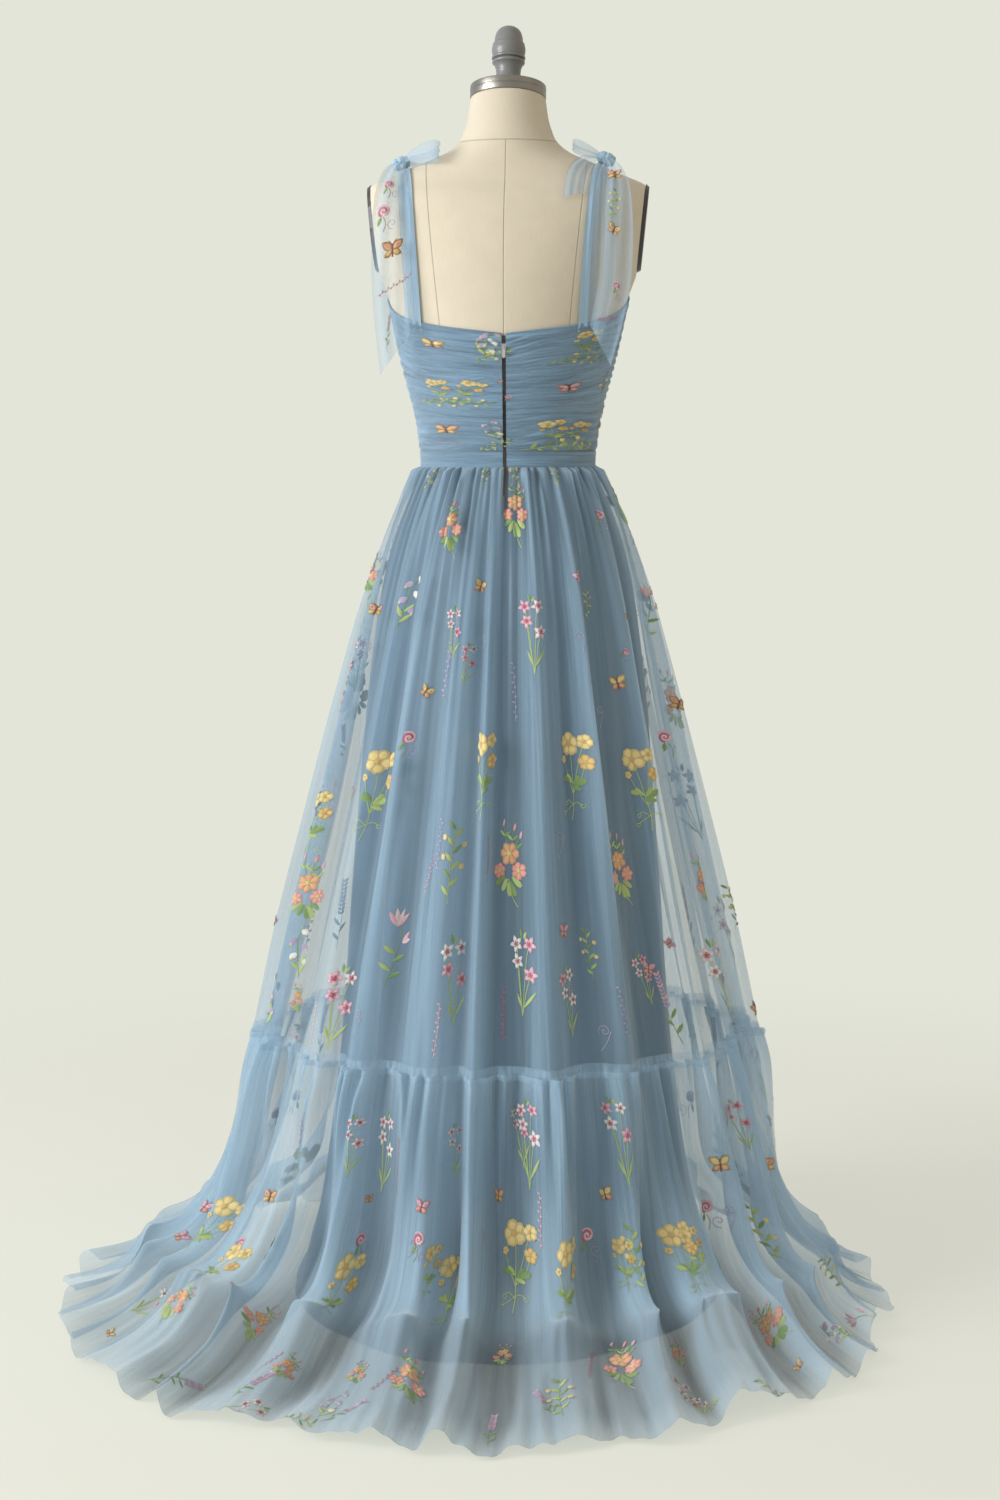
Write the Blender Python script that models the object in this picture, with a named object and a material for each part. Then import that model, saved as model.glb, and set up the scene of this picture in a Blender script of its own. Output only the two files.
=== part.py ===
"""A tulle A-line gown on a limbless dress form, in metres, +Z up.

The origin is on the floor in the middle of the stand's base. The back of the gown, with its zip,
faces -Y, the wearer's right is +X, and the front faces +Y. A turn runs round the gown from the
centre back (0) by the wearer's right side (0.25) to the centre front (0.5).
"""

import math

import bmesh
import bpy
import numpy as np
from mathutils import Matrix, Vector

FULL_TURN = 2 * math.pi
QUARTER_TURN = math.pi / 2
GAP = 0.0003  # kept between pieces that touch
FLOOR_GAP = 0.0004  # below cloth that lies on the floor

# Heights
WAIST = 1.065  # waistband to skirt
BAND_TOP = 1.0865  # waistband to bodice
TIER_SEAM = 0.325  # upper tier to flounce
NECK_TOP = 1.5425  # top of the form's neck, at its middle
NECK_TILT = math.radians(13)
TILT_FROM = 1.486

# Walls
SKIRT_WALL = 0.0016
LINING_WALL = 0.0013
STRAP_WALL = 0.0011
BODICE_CLEAR = 0.0013  # bodice off the form
STRAP_CLEAR = 0.0018
BODICE_WALL = 0.0012
PLEAT_RISE = 0.0017
WAISTBAND_CLEAR = 0.0004
WAISTBAND_WALL = 0.0022

# Zip at the centre back
ZIP_HALF = 0.0035
ZIP_WALL = 0.0011
ZIP_CLEAR = 0.0004  # tape off what it lies on
ZIP_TOP = 1.2345
ZIP_END = 1.005
SLIDER_Z = 1.220
SLIDER_SIZE = (0.0062, 0.0024, 0.0090)
OPENING_HALF = ZIP_HALF + GAP
PIN_RADIUS = 0.0006
PIN_REACH = 0.0021  # pin's middle off the slider's face
PIN_UP = 0.0015  # and above the slider's middle
EYE_RADIUS = 0.0016
EYE_HOLE = 0.00095
EYE_HALF = 0.0011
EAR_WALL = 0.0009
EAR_HEIGHT = 0.0022
EAR_ROOT = 0.0006  # sunk into the slider
PULL_LENGTH = 0.0150
PULL_WIDTH = 0.0044
PULL_WALL = 0.0009
PULL_NECK = 0.0034
TAB_TOP = 0.0026  # below the pin, clear of the ears
TAB_ROUND = 0.0012

# Counts
STATIONS = 28  # columns round the form, the bodice and the waistband
PLEATS = 14  # ruching of the bodice
WAIST_GATHERS = 56
TIER_FOLDS = 21
FLOUNCE_GATHERS = 76
FLOUNCE_FOLDS = 27
FOLD_SEED = 0.5
LINING_SEED = 2.0
LINING_FOLDS = 10
LINING_COLUMNS = 32

# Stand
POLE_RADIUS = 0.0135
BASE_RADIUS = 0.175
BASE_WALL = 0.012
HUB_TALL = 0.012  # the hub that holds the pole, above the base
CAP_RADIUS = 0.0497
CAP_TALL = 0.0175
PLATE = {"x": 0.1745, "y": 0.004, "z": 1.376, "lean": 0.10, "tall": 0.058, "deep": 0.036, "wall": 0.005}
BUST = {"front": 0.10, "across": 0.074, "z": 1.222, "reach": 0.016, "wide": 0.042, "tall": 0.050}
BUST_EASE = 0.0048  # the bodice stands this much further off the bust


def table(names, *rows):
    """A short table, read by the names of its columns."""
    return dict(zip(names.split(), np.array(rows, float).T))


FORM = table(
    "z half_width back front",
    (0.800, 0.158, 0.112, 0.102),
    (0.840, 0.165, 0.121, 0.108),
    (0.880, 0.166, 0.124, 0.109),
    (0.920, 0.160, 0.120, 0.107),
    (0.960, 0.149, 0.112, 0.102),
    (1.000, 0.136, 0.101, 0.096),
    (1.030, 0.1225, 0.092, 0.090),
    (1.065, 0.1125, 0.084, 0.086),
    (1.087, 0.1135, 0.0835, 0.088),
    (1.1265, 0.1183, 0.0885, 0.094),
    (1.180, 0.1312, 0.099, 0.102),
    (1.2315, 0.144, 0.108, 0.106),
    (1.280, 0.156, 0.112, 0.104),
    (1.330, 0.174, 0.112, 0.098),
    (1.380, 0.186, 0.104, 0.088),
    (1.420, 0.187, 0.086, 0.068),
    (1.433, 0.178, 0.074, 0.056),
    (1.443, 0.155, 0.069, 0.053),
    (1.453, 0.130, 0.066, 0.051),
    (1.463, 0.106, 0.063, 0.050),
    (1.473, 0.083, 0.061, 0.049),
    (1.486, 0.066, 0.058, 0.049),
    (1.505, 0.0565, 0.053, 0.049),
    (NECK_TOP, 0.049, 0.049, 0.049),
)
FORM_HEIGHTS = np.concatenate(
    (
        np.linspace(0.80, 1.03, 6),
        (1.05, WAIST, BAND_TOP),
        np.linspace(1.11, 1.29, 7),
        (1.33, 1.38, 1.42),
        FORM["z"][FORM["z"] > 1.42],
    )
)

NECKLINE = table(
    "turn z",
    (0.00, 1.2365),
    (0.13, 1.2520),
    (0.20, 1.2660),
    (0.25, 1.2820),
    (0.36, 1.3000),
    (0.43, 1.2920),
    (0.50, 1.2720),
)

# A skirt's rows, from its seam down. z is given at the sides, the back and the front; left, right,
# back and front are how far the cloth reaches from the pole, and centre is the y where it is widest.
# gather and fold are heights of waves, fan is how far the upper folds have changed into the hem's,
# lift raises folds off the floor, and stray is how far the hem wanders.
ROW = "z back_z front_z left right back front centre gather fold fan lift stray"
TIER = table(
    ROW,
    (WAIST, WAIST, WAIST, 0.1197, 0.1197, 0.0910, 0.0932, 0.000, 0.0020, 0.000, 0, 0, 0),
    (1.035, 1.035, 1.035, 0.1350, 0.1350, 0.1075, 0.1080, 0.000, 0.0030, 0.001, 0, 0, 0),
    (0.980, 0.980, 0.980, 0.1580, 0.1580, 0.1350, 0.1290, 0.000, 0.0030, 0.003, 0, 0, 0),
    (0.890, 0.890, 0.890, 0.1850, 0.1850, 0.1800, 0.1490, -0.010, 0.0026, 0.007, 0, 0, 0),
    (0.770, 0.770, 0.770, 0.2130, 0.2130, 0.2270, 0.1750, -0.022, 0.0018, 0.011, 0, 0, 0),
    (0.630, 0.630, 0.630, 0.2450, 0.2450, 0.2780, 0.2030, -0.035, 0.0010, 0.015, 0, 0, 0),
    (0.470, 0.470, 0.470, 0.2850, 0.2830, 0.3330, 0.2360, -0.050, 0.0006, 0.018, 0, 0, 0),
    (TIER_SEAM, TIER_SEAM, TIER_SEAM)
    + (0.3190, 0.3180, 0.3830, 0.2660, -0.060, 0.0004, 0.018, 0, 0, 0),
)
FLOUNCE = table(
    ROW,
    (TIER_SEAM, TIER_SEAM, TIER_SEAM)
    + (0.3190, 0.3180, 0.3830, 0.2660, -0.060, 0.0030, 0.018, 0.0, 0, 0),
    (0.265, 0.265, 0.265, 0.337, 0.334, 0.402, 0.278, -0.065, 0.0060, 0.018, 0.2, 0, 0),
    (0.180, 0.175, 0.185, 0.357, 0.351, 0.428, 0.291, -0.077, 0.0040, 0.021, 0.5, 0, 0.1),
    (0.090, 0.080, 0.100, 0.397, 0.377, 0.478, 0.305, -0.108, 0.0020, 0.022, 0.9, 0, 0.3),
    (0.030, 0.024, 0.045, 0.446, 0.408, 0.560, 0.313, -0.148, 0.0006, 0.017, 1.0, 1, 0.5),
    (0.007, 0.006, 0.014, 0.502, 0.452, 0.695, 0.319, -0.203, 0.0004, 0.010, 1.0, 1, 0.8),
    (0.002, 0.002, 0.002, 0.560, 0.497, 0.830, 0.323, -0.250, 0.0004, 0.005, 1.0, 1, 1.0),
)
LINING = table(
    ROW,
    (WAIST, WAIST, WAIST, 0.1149, 0.1149, 0.0864, 0.0884, 0.000, 0, 0.000, 0, 0, 0),
    (1.020, 1.020, 1.020, 0.1325, 0.1325, 0.1020, 0.0980, 0.000, 0, 0.000, 0, 0, 0),
    (0.960, 0.960, 0.960, 0.1545, 0.1545, 0.1220, 0.1120, 0.000, 0, 0.000, 0, 0, 0),
    (0.880, 0.880, 0.880, 0.1720, 0.1720, 0.1480, 0.1260, -0.008, 0, 0.002, 0, 0, 0),
    (0.740, 0.740, 0.740, 0.1890, 0.1890, 0.1980, 0.1520, -0.022, 0, 0.004, 0, 0, 0),
    (0.530, 0.530, 0.530, 0.2040, 0.2050, 0.2500, 0.1840, -0.038, 0, 0.007, 0, 0, 0),
    (0.300, 0.300, 0.300, 0.2190, 0.2230, 0.3110, 0.2100, -0.052, 0, 0.008, 0, 0, 0),
    (0.110, 0.105, 0.115, 0.2420, 0.2520, 0.3920, 0.2360, -0.076, 0, 0.010, 0, 0, 0),
    (0.026, 0.024, 0.030, 0.2560, 0.2700, 0.4550, 0.2500, -0.095, 0, 0.007, 0, 1, 0),
    (0.002, 0.002, 0.002, 0.2720, 0.2880, 0.5150, 0.2680, -0.110, 0, 0.003, 0, 1, 0),
)

# A half bow on each shoulder: x of its knot, and of its straps' feet at the back and at the front
BOWS = {
    "left": {"knot_x": -0.1365, "foot_x": -0.1165, "front_x": -0.098},
    "right": {"knot_x": 0.1245, "foot_x": 0.1030, "front_x": 0.098},
}
STRAP_WIDTH = 0.0215
STRAP_NARROWED = 0.25  # share of its width that a strap loses towards its knot
STRAP_ROWS = 14
STRAP_END = 0.0035  # under the knot, to each side of the shoulder line
KNOT_SIZE = (0.0125, 0.0125, 0.0090)  # half its length, depth and height
KNOT_SINK = 0.0006  # as the form falls away under the straps' ends
KNOT_CLEAR = 0.0010  # from the knot to the middle of a band's root

# Routes of the bows' free ends from the knot down, with the band's width at each point. across is
# the way the band's width lies, ripple its soft folds, and slant how far its cut end slopes.
ENDS = {
    "tail_left": {
        "across": (1, 0, 0),
        "ripple": 0.0025,
        "slant": -0.050,
        "route": (
            (-0.1395, -0.0138, 1.4635, 0.012),
            (-0.1440, -0.0340, 1.4535, 0.026),
            (-0.1465, -0.0620, 1.4290, 0.040),
            (-0.1465, -0.0840, 1.3950, 0.048),
            (-0.1465, -0.0940, 1.3500, 0.050),
            (-0.1460, -0.0960, 1.3000, 0.050),
            (-0.1440, -0.0960, 1.2500, 0.046),
            (-0.1415, -0.0960, 1.2105, 0.042),
        ),
    },
    "tail_right": {
        "across": (1, 0, 0),
        "ripple": 0.0025,
        "slant": 0.045,
        "route": (
            (0.1285, -0.0138, 1.4675, 0.010),
            (0.1360, -0.0340, 1.4560, 0.022),
            (0.1420, -0.0620, 1.4310, 0.034),
            (0.1440, -0.0840, 1.3970, 0.040),
            (0.1440, -0.0940, 1.3500, 0.042),
            (0.1410, -0.0970, 1.3000, 0.042),
            (0.1330, -0.0980, 1.2600, 0.042),
            (0.1235, -0.0980, 1.2225, 0.040),
        ),
    },
    "short_end_right": {
        "across": (0.92, 0, -0.39),
        "ripple": 0.001,
        "slant": -0.014,
        "route": (
            (0.1130, -0.0138, 1.4680, 0.010),
            (0.1060, -0.0330, 1.4630, 0.020),
            (0.0965, -0.0560, 1.4510, 0.027),
            (0.0915, -0.0730, 1.4335, 0.029),
            (0.0890, -0.0870, 1.4140, 0.028),
        ),
    },
    "short_end_left": {
        "across": (-0.92, 0, -0.39),
        "ripple": 0.001,
        "slant": 0.014,
        "route": (
            (-0.1260, 0.0138, 1.4620, 0.010),
            (-0.1190, 0.0310, 1.4560, 0.020),
            (-0.1100, 0.0480, 1.4460, 0.027),
            (-0.1050, 0.0600, 1.4300, 0.029),
            (-0.1020, 0.0740, 1.4120, 0.028),
        ),
    },
}
# Loops of the bows: from the knot to the loop's far end, how wide the band is and how far it opens
LOOPS = {
    "loop_left": {"root": (-0.1245, -0.0120, 1.470), "tip": (-0.0880, -0.0580, 1.4740)}
    | {"width": 0.028, "puff": 0.0090},
    "loop_right": {"root": (0.1120, 0.0020, 1.474), "tip": (0.0850, -0.0060, 1.4835)}
    | {"width": 0.017, "puff": 0.0060},
}
LOOP_ACROSS = (0, -0.55, -0.835)
LOOP_START = 0.05  # share of a loop's turn that the knot hides at each end

COLOURS = {
    "linen": (0.72, 0.66, 0.55),
    "tulle": (0.30, 0.42, 0.53),
    "lining": (0.19, 0.31, 0.43),
    "ruched tulle": (0.20, 0.31, 0.43),
    "zip tape": (0.09, 0.07, 0.065),
    "zip metal": (0.55, 0.55, 0.56),
    "chrome": (0.62, 0.60, 0.57),
    "grey paint": (0.20, 0.20, 0.20),
    "dark plate": (0.09, 0.09, 0.095),
}
METALS = ("chrome", "zip metal")


# ---- Scene helpers


def clear_scene():
    for obj in list(bpy.data.objects):
        bpy.data.objects.remove(obj, do_unlink=True)


def material(name):
    found = bpy.data.materials.get(name)
    if found:
        return found
    made = bpy.data.materials.new(name)
    made.use_nodes = True
    shader = made.node_tree.nodes["Principled BSDF"]
    shader.inputs["Base Color"].default_value = (*COLOURS[name], 1)
    shader.inputs["Metallic"].default_value = 1.0 if name in METALS else 0.0
    shader.inputs["Roughness"].default_value = 0.3 if name in METALS else 0.8
    made.diffuse_color = (*COLOURS[name], 1)
    return made


def add(name, points, faces, look):
    """An object from points and faces that already form one closed body."""
    mesh = bpy.data.meshes.new(name)
    mesh.from_pydata([tuple(p) for p in points], [], faces)
    mesh.materials.append(material(look))
    mesh.shade_smooth()
    mesh.set_sharp_from_angle(angle=math.radians(35))
    obj = bpy.data.objects.new(name, mesh)
    bpy.context.scene.collection.objects.link(obj)
    return obj


def add_bmesh(name, shape, look, matrix=None):
    """An object from a bmesh, moved in its own mesh by a matrix if one is given."""
    if matrix is not None:
        bmesh.ops.transform(shape, matrix=matrix, verts=shape.verts)
    bmesh.ops.recalc_face_normals(shape, faces=shape.faces)
    mesh = bpy.data.meshes.new(name)
    shape.to_mesh(mesh)
    shape.free()
    mesh.materials.append(material(look))
    mesh.shade_smooth()
    mesh.set_sharp_from_angle(angle=math.radians(35))
    obj = bpy.data.objects.new(name, mesh)
    bpy.context.scene.collection.objects.link(obj)
    return obj


def turned(name, profile, look, segments, matrix=None):
    """A solid of revolution about Z; the profile is (radius, height) pairs from axis to axis."""
    shape = bmesh.new()
    verts = [shape.verts.new((radius, 0, height)) for radius, height in profile]
    edges = [shape.edges.new(pair) for pair in zip(verts, verts[1:])]
    bmesh.ops.spin(
        shape,
        geom=verts + edges,
        axis=(0, 0, 1),
        cent=(0, 0, 0),
        steps=segments,
        angle=FULL_TURN,
    )
    bmesh.ops.remove_doubles(shape, verts=shape.verts, dist=1e-6)
    return add_bmesh(name, shape, look, matrix)


def wall(name, outer, inner, look):
    """One closed body between two grids of points, with a rim along each free edge.

    Row direction x column direction points out of the outer grid. The inner grid has the same
    columns, and may have fewer rows than the outer one.
    """
    rows, cols = outer.shape[:2]
    points = np.concatenate([outer.reshape(-1, 3), inner.reshape(-1, 3)])
    out = np.arange(rows * cols).reshape(rows, cols)
    back = rows * cols + np.arange(inner.shape[0] * cols).reshape(-1, cols)
    faces = []
    for r in range(rows - 1):
        for c in range(cols - 1):
            faces.append((out[r, c], out[r + 1, c], out[r + 1, c + 1], out[r, c + 1]))
    for r in range(len(back) - 1):
        for c in range(cols - 1):
            faces.append((back[r, c], back[r, c + 1], back[r + 1, c + 1], back[r + 1, c]))
    for c in range(cols - 1):
        faces.append((out[0, c], out[0, c + 1], back[0, c + 1], back[0, c]))
        faces.append((out[-1, c + 1], out[-1, c], back[-1, c], back[-1, c + 1]))
    if len(back) != rows:
        faces.append((*out[::-1, 0], *back[:, 0]))
        faces.append((*out[:, -1], *back[::-1, -1]))
    else:
        for r in range(rows - 1):
            faces.append((out[r, 0], back[r, 0], back[r + 1, 0]))
            faces.append((out[r, 0], back[r + 1, 0], out[r + 1, 0]))
            faces.append((out[r, -1], back[r + 1, -1], back[r, -1]))
            faces.append((out[r, -1], out[r + 1, -1], back[r + 1, -1]))
    return add(name, points, [tuple(int(i) for i in face) for face in faces], look)


def curve(at, xs, ys):
    """A smooth curve through the points (xs, ys), read at each value of at; xs rise."""
    at = np.clip(at, xs[0], xs[-1])
    slopes = np.gradient(ys, xs)
    i = np.clip(np.searchsorted(xs, at) - 1, 0, len(xs) - 2)
    span = xs[i + 1] - xs[i]
    t = (at - xs[i]) / span
    start = ys[i] * (2 * t**3 - 3 * t**2 + 1) + slopes[i] * span * (t**3 - 2 * t**2 + t)
    end = ys[i + 1] * (3 * t**2 - 2 * t**3) + slopes[i + 1] * span * (t**3 - t**2)
    return start + end


# ---- The dress form


def bust_lobe(x, y, z):
    """How far a place on the front belongs to one of the two rounds of the bust, from 0 to 1."""
    across = (np.abs(x) - BUST["across"]) / BUST["wide"]
    up = (z - BUST["z"]) / BUST["tall"]
    return np.exp(-(across**2) - up**2) * np.clip(y / BUST["front"], 0, 1)


def form_built_ring(z):
    """One of the form's rings, as STATIONS points from the centre back round by +X."""
    turn = np.arange(STATIONS) * FULL_TURN / STATIONS
    half_width, back, front = (curve(z, FORM["z"], FORM[c]) for c in ("half_width", "back", "front"))
    x = half_width * np.sin(turn)
    y = -np.where(np.cos(turn) > 0, back, front) * np.cos(turn)
    y += BUST["reach"] * bust_lobe(x, y, z)
    flat = PLATE["x"] + PLATE["lean"] * (z - PLATE["z"])
    x = np.clip(x, -flat, flat)
    tilt = np.clip((z - TILT_FROM) / (NECK_TOP - TILT_FROM), 0, 1) * math.tan(NECK_TILT)
    return np.stack([x, y, z - tilt * y], axis=-1)


FORM_RINGS = np.array([form_built_ring(z) for z in FORM_HEIGHTS])


def form_ring(z, off=0.0):
    """The form's surface at one height, straight between its built rings, moved out by off."""
    i = int(np.clip(np.searchsorted(FORM_HEIGHTS, z) - 1, 0, len(FORM_HEIGHTS) - 2))
    t = (z - FORM_HEIGHTS[i]) / (FORM_HEIGHTS[i + 1] - FORM_HEIGHTS[i])
    ring = FORM_RINGS[i] * (1 - t) + FORM_RINGS[i + 1] * t
    along = np.roll(ring, -1, axis=0) - np.roll(ring, 1, axis=0)
    out = np.stack([along[:, 1], -along[:, 0], 0 * along[:, 0]], axis=-1)
    out /= np.linalg.norm(out, axis=1)[:, None]
    return ring + off * out


def form_side(x, z, front):
    """y of the form's back or front surface at a place (x, z) seen from behind."""
    half = STATIONS // 4
    span = np.arange(-half, half + 1) + (STATIONS // 2 if front else 0)
    ring = form_ring(z)[span % STATIONS]
    if front:
        ring = ring[::-1]
    return np.interp(x, ring[:, 0], ring[:, 1])


def shoulder_z(x):
    """Height of the form's shoulder line above a distance x from its middle."""
    widths = FORM_RINGS[:, :, 0].max(axis=1)
    upper = FORM_HEIGHTS > PLATE["z"]
    return float(np.interp(-abs(x), -widths[upper], FORM_HEIGHTS[upper]))


def make_form():
    rings = len(FORM_HEIGHTS)
    at = np.arange(rings * STATIONS).reshape(rings, STATIONS)
    faces = [tuple(at[0, ::-1]), tuple(at[-1])]
    for r in range(rings - 1):
        for c in range(STATIONS):
            n = (c + 1) % STATIONS
            faces.append((at[r, c], at[r, n], at[r + 1, n], at[r + 1, c]))
    faces = [tuple(int(i) for i in face) for face in faces]
    add("form_torso", FORM_RINGS.reshape(-1, 3), faces, "linen")


def make_plates():
    for side, sign in (("left", -1), ("right", 1)):
        shape = bmesh.new()
        bmesh.ops.create_cone(
            shape,
            cap_ends=True,
            segments=24,
            radius1=1,
            radius2=0.94,
            depth=PLATE["wall"],
        )
        stretch = Matrix.Diagonal((PLATE["tall"], PLATE["deep"], 1, 1))
        face_out = Matrix.Rotation(sign * QUARTER_TURN, 4, "Y")
        lean = Matrix.Rotation(sign * math.atan(PLATE["lean"]), 4, "Y")
        out = (PLATE["wall"] / 2 + GAP) / math.cos(math.atan(PLATE["lean"]))
        place = Matrix.Translation((sign * (PLATE["x"] + out), PLATE["y"], PLATE["z"]))
        add_bmesh(f"armhole_plate_{side}", shape, "dark plate", place @ lean @ face_out @ stretch)


def make_neck_cap():
    top = Matrix.Translation((0, 0, NECK_TOP)) @ Matrix.Rotation(-NECK_TILT, 4, "X")
    edge = 0.0015
    cap = (
        (0, GAP),
        (CAP_RADIUS - edge, GAP),
        (CAP_RADIUS, GAP + edge),
        (CAP_RADIUS, CAP_TALL - edge),
        (CAP_RADIUS - edge, CAP_TALL),
        (0, CAP_TALL),
    )
    turned("neck_cap", cap, "chrome", 28, top)
    foot = CAP_TALL + GAP
    knob = (
        (0, foot),
        (0.0195, foot),
        (0.0195, foot + 0.005),
        (0.0160, foot + 0.013),
        (0.0165, foot + 0.022),
        (0.0205, foot + 0.033),
        (0.0225, foot + 0.040),
        (0.0222, foot + 0.052),
        (0.0195, foot + 0.056),
        (0.0185, foot + 0.066),
        (0.0130, foot + 0.076),
        (0, foot + 0.0815),
    )
    turned("finial", knob, "grey paint", 16, top)


def make_stand():
    base = (
        (0, 0),
        (BASE_RADIUS - 0.001, 0),
        (BASE_RADIUS, 0.001),
        (BASE_RADIUS, BASE_WALL - 0.004),
        (BASE_RADIUS - 0.006, BASE_WALL),
        (0.030, BASE_WALL + 0.004),
        (0.024, BASE_WALL + HUB_TALL),
        (0, BASE_WALL + HUB_TALL),
    )
    turned("stand_base", base, "grey paint", 36)
    foot = BASE_WALL + HUB_TALL + GAP
    top = FORM_HEIGHTS[0] - GAP
    pole = ((0, foot), (POLE_RADIUS, foot), (POLE_RADIUS, top), (0, top))
    turned("stand_pole", pole, "chrome", 20)


# ---- Bodice, waistband and zip


def neckline(turn):
    """Height of the bodice's upper edge at a turn from the centre back."""
    return curve(0.5 - np.abs(np.abs(turn) % 1 - 0.5), NECKLINE["turn"], NECKLINE["z"])


def part_columns(grid, first, last, start_at=None, end_at=None):
    """Columns first to last, the end ones drawn in to leave a seam's gap or an opening.

    start_at and end_at are how far each row's end column stays from x = 0, on its own side of it;
    None leaves a seam.
    """
    cols = grid.shape[1]
    picked = grid[:, np.arange(first, last + 1) % cols].copy()
    for edge, inside, place in ((0, 1, start_at), (-1, -2, end_at)):
        step = picked[:, inside] - picked[:, edge]
        if place is None:
            share = GAP / 2 / np.linalg.norm(step, axis=1)
        else:
            side = np.sign(step[:, 0])
            share = np.maximum((place - side * picked[:, edge, 0]) / np.abs(step[:, 0]), 0)
        picked[:, edge] += share[:, None] * step
    return picked


def bodice_point(k, z, off):
    """A point off the bodice's inside, which has a little ease over the bust."""
    ease = BUST_EASE * bust_lobe(*form_ring(z)[k, :2], z)
    return form_ring(z, BODICE_CLEAR + ease + off)[k]


def bodice_grids():
    """Outer and inner points of the ruched bodice, rows from the neckline down."""
    rows = 2 * PLEATS + 1
    outer = np.zeros((rows, STATIONS, 3))
    inner = np.zeros((PLEATS // 2 + 1, STATIONS, 3))
    foot = BAND_TOP + GAP
    for k in range(STATIONS):
        turn = k / STATIONS
        top = neckline(turn)
        for r in range(rows):
            share = r / (rows - 1)
            sway = 0.0015 * math.sin(FULL_TURN * 2 * turn + 0.8 * r) * math.sin(math.pi * share)
            z = top + (foot - top) * share + sway
            rise = PLEAT_RISE * (0.75 + 0.25 * math.sin(FULL_TURN * 3 * turn + 2.1 * r)) * (r % 2)
            outer[r, k] = bodice_point(k, z, BODICE_WALL + rise)
        for r, z in enumerate(np.linspace(top, foot, len(inner))):
            inner[r, k] = bodice_point(k, z, 0)
    return outer, inner


def make_bodice():
    grids = bodice_grids()
    quarter = STATIONS // 4
    opening = {"start_at": OPENING_HALF}, {"end_at": OPENING_HALF}
    panels = (
        ("bodice_back_right", 0, quarter, opening[0]),
        ("bodice_front", quarter, 3 * quarter, {}),
        ("bodice_back_left", 3 * quarter, STATIONS, opening[1]),
    )
    for name, first, last, edges in panels:
        outer, inner = (part_columns(grid, first, last, **edges) for grid in grids)
        wall(name, outer, inner, "ruched tulle")


def make_waistband():
    heights = (BAND_TOP, (BAND_TOP + WAIST) / 2, WAIST + GAP)
    outer = np.array([form_ring(z, WAISTBAND_CLEAR + WAISTBAND_WALL) for z in heights])
    inner = np.array([form_ring(z, WAISTBAND_CLEAR) for z in heights])
    ends = {"start_at": OPENING_HALF, "end_at": OPENING_HALF}
    grids = (part_columns(grid, 0, STATIONS, **ends) for grid in (outer, inner))
    wall("waistband", *grids, "ruched tulle")


def zip_surface(z):
    """y of what the zip lies on: the form, and below the waist the lining."""
    if z > WAIST + 0.004:
        return form_ring(z)[0, 1]
    outer, _ = lining_grids()
    return float(np.interp(-z, -outer[:, 0, 2], outer[:, 0, 1]))


def make_zip_tape():
    heights = np.concatenate((np.linspace(ZIP_TOP, WAIST + 0.006, 9), np.linspace(WAIST, ZIP_END, 4)))
    outer, inner = [], []
    for z in heights:
        near = zip_surface(z) - ZIP_CLEAR
        inner.append([(-ZIP_HALF, near, z), (ZIP_HALF, near, z)])
        outer.append([(-ZIP_HALF, near - ZIP_WALL, z), (ZIP_HALF, near - ZIP_WALL, z)])
    wall("zip_tape", np.array(outer), np.array(inner), "zip tape")


def slider_frame():
    """Where the slider sits: on the tape's face, leaning with it. Local -Y points off the tape."""
    step = 0.006
    here, above = zip_surface(SLIDER_Z), zip_surface(SLIDER_Z + step)
    lean = math.atan2(here - above, step)
    off = ZIP_CLEAR + ZIP_WALL + GAP
    place = Vector((0, here - off / math.cos(lean), SLIDER_Z))
    return Matrix.Translation(place) @ Matrix.Rotation(lean, 4, "X")


def box(size, centre):
    shape = bmesh.new()
    bmesh.ops.create_cube(shape, size=1)
    bmesh.ops.transform(
        shape,
        matrix=Matrix.Translation(centre) @ Matrix.Diagonal((*size, 1)),
        verts=shape.verts,
    )
    return shape


def rod(radius, length, centre, segments=16):
    """A round bar along X."""
    shape = bmesh.new()
    bmesh.ops.create_cone(
        shape, cap_ends=True, segments=segments, radius1=radius, radius2=radius, depth=length
    )
    turn = Matrix.Rotation(QUARTER_TURN, 4, "Y")
    bmesh.ops.transform(shape, matrix=Matrix.Translation(centre) @ turn, verts=shape.verts)
    return shape


def combine(target, tool, operation):
    """Joins or cuts with a hidden helper object."""
    tool.hide_render = True
    tool.display_type = "WIRE"
    modifier = target.modifiers.new(operation.title(), "BOOLEAN")
    modifier.operation = operation
    modifier.solver = "EXACT"
    modifier.object = tool


def make_slider():
    frame = slider_frame()
    width, depth, height = SLIDER_SIZE
    body = box(SLIDER_SIZE, (0, -depth / 2, 0))
    bmesh.ops.bevel(body, geom=body.edges[:], offset=0.0005, segments=1, affect="EDGES")
    slider = add_bmesh("zip_slider", body, "zip metal", frame)
    ear_inside = EYE_HALF + GAP
    ear_tall = PIN_REACH + EAR_HEIGHT / 2
    for side, sign in (("left", -1), ("right", 1)):
        middle = (sign * (ear_inside + EAR_WALL / 2), -depth - ear_tall / 2 + EAR_ROOT / 2, PIN_UP)
        ear = box((EAR_WALL, ear_tall + EAR_ROOT, EAR_HEIGHT), middle)
        combine(slider, add_bmesh(f"ear_{side}", ear, "zip metal", frame), "UNION")
    pin = rod(PIN_RADIUS, 2 * ear_inside + EAR_WALL, (0, -depth - PIN_REACH, PIN_UP), 12)
    combine(slider, add_bmesh("pin", pin, "zip metal", frame), "UNION")


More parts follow.
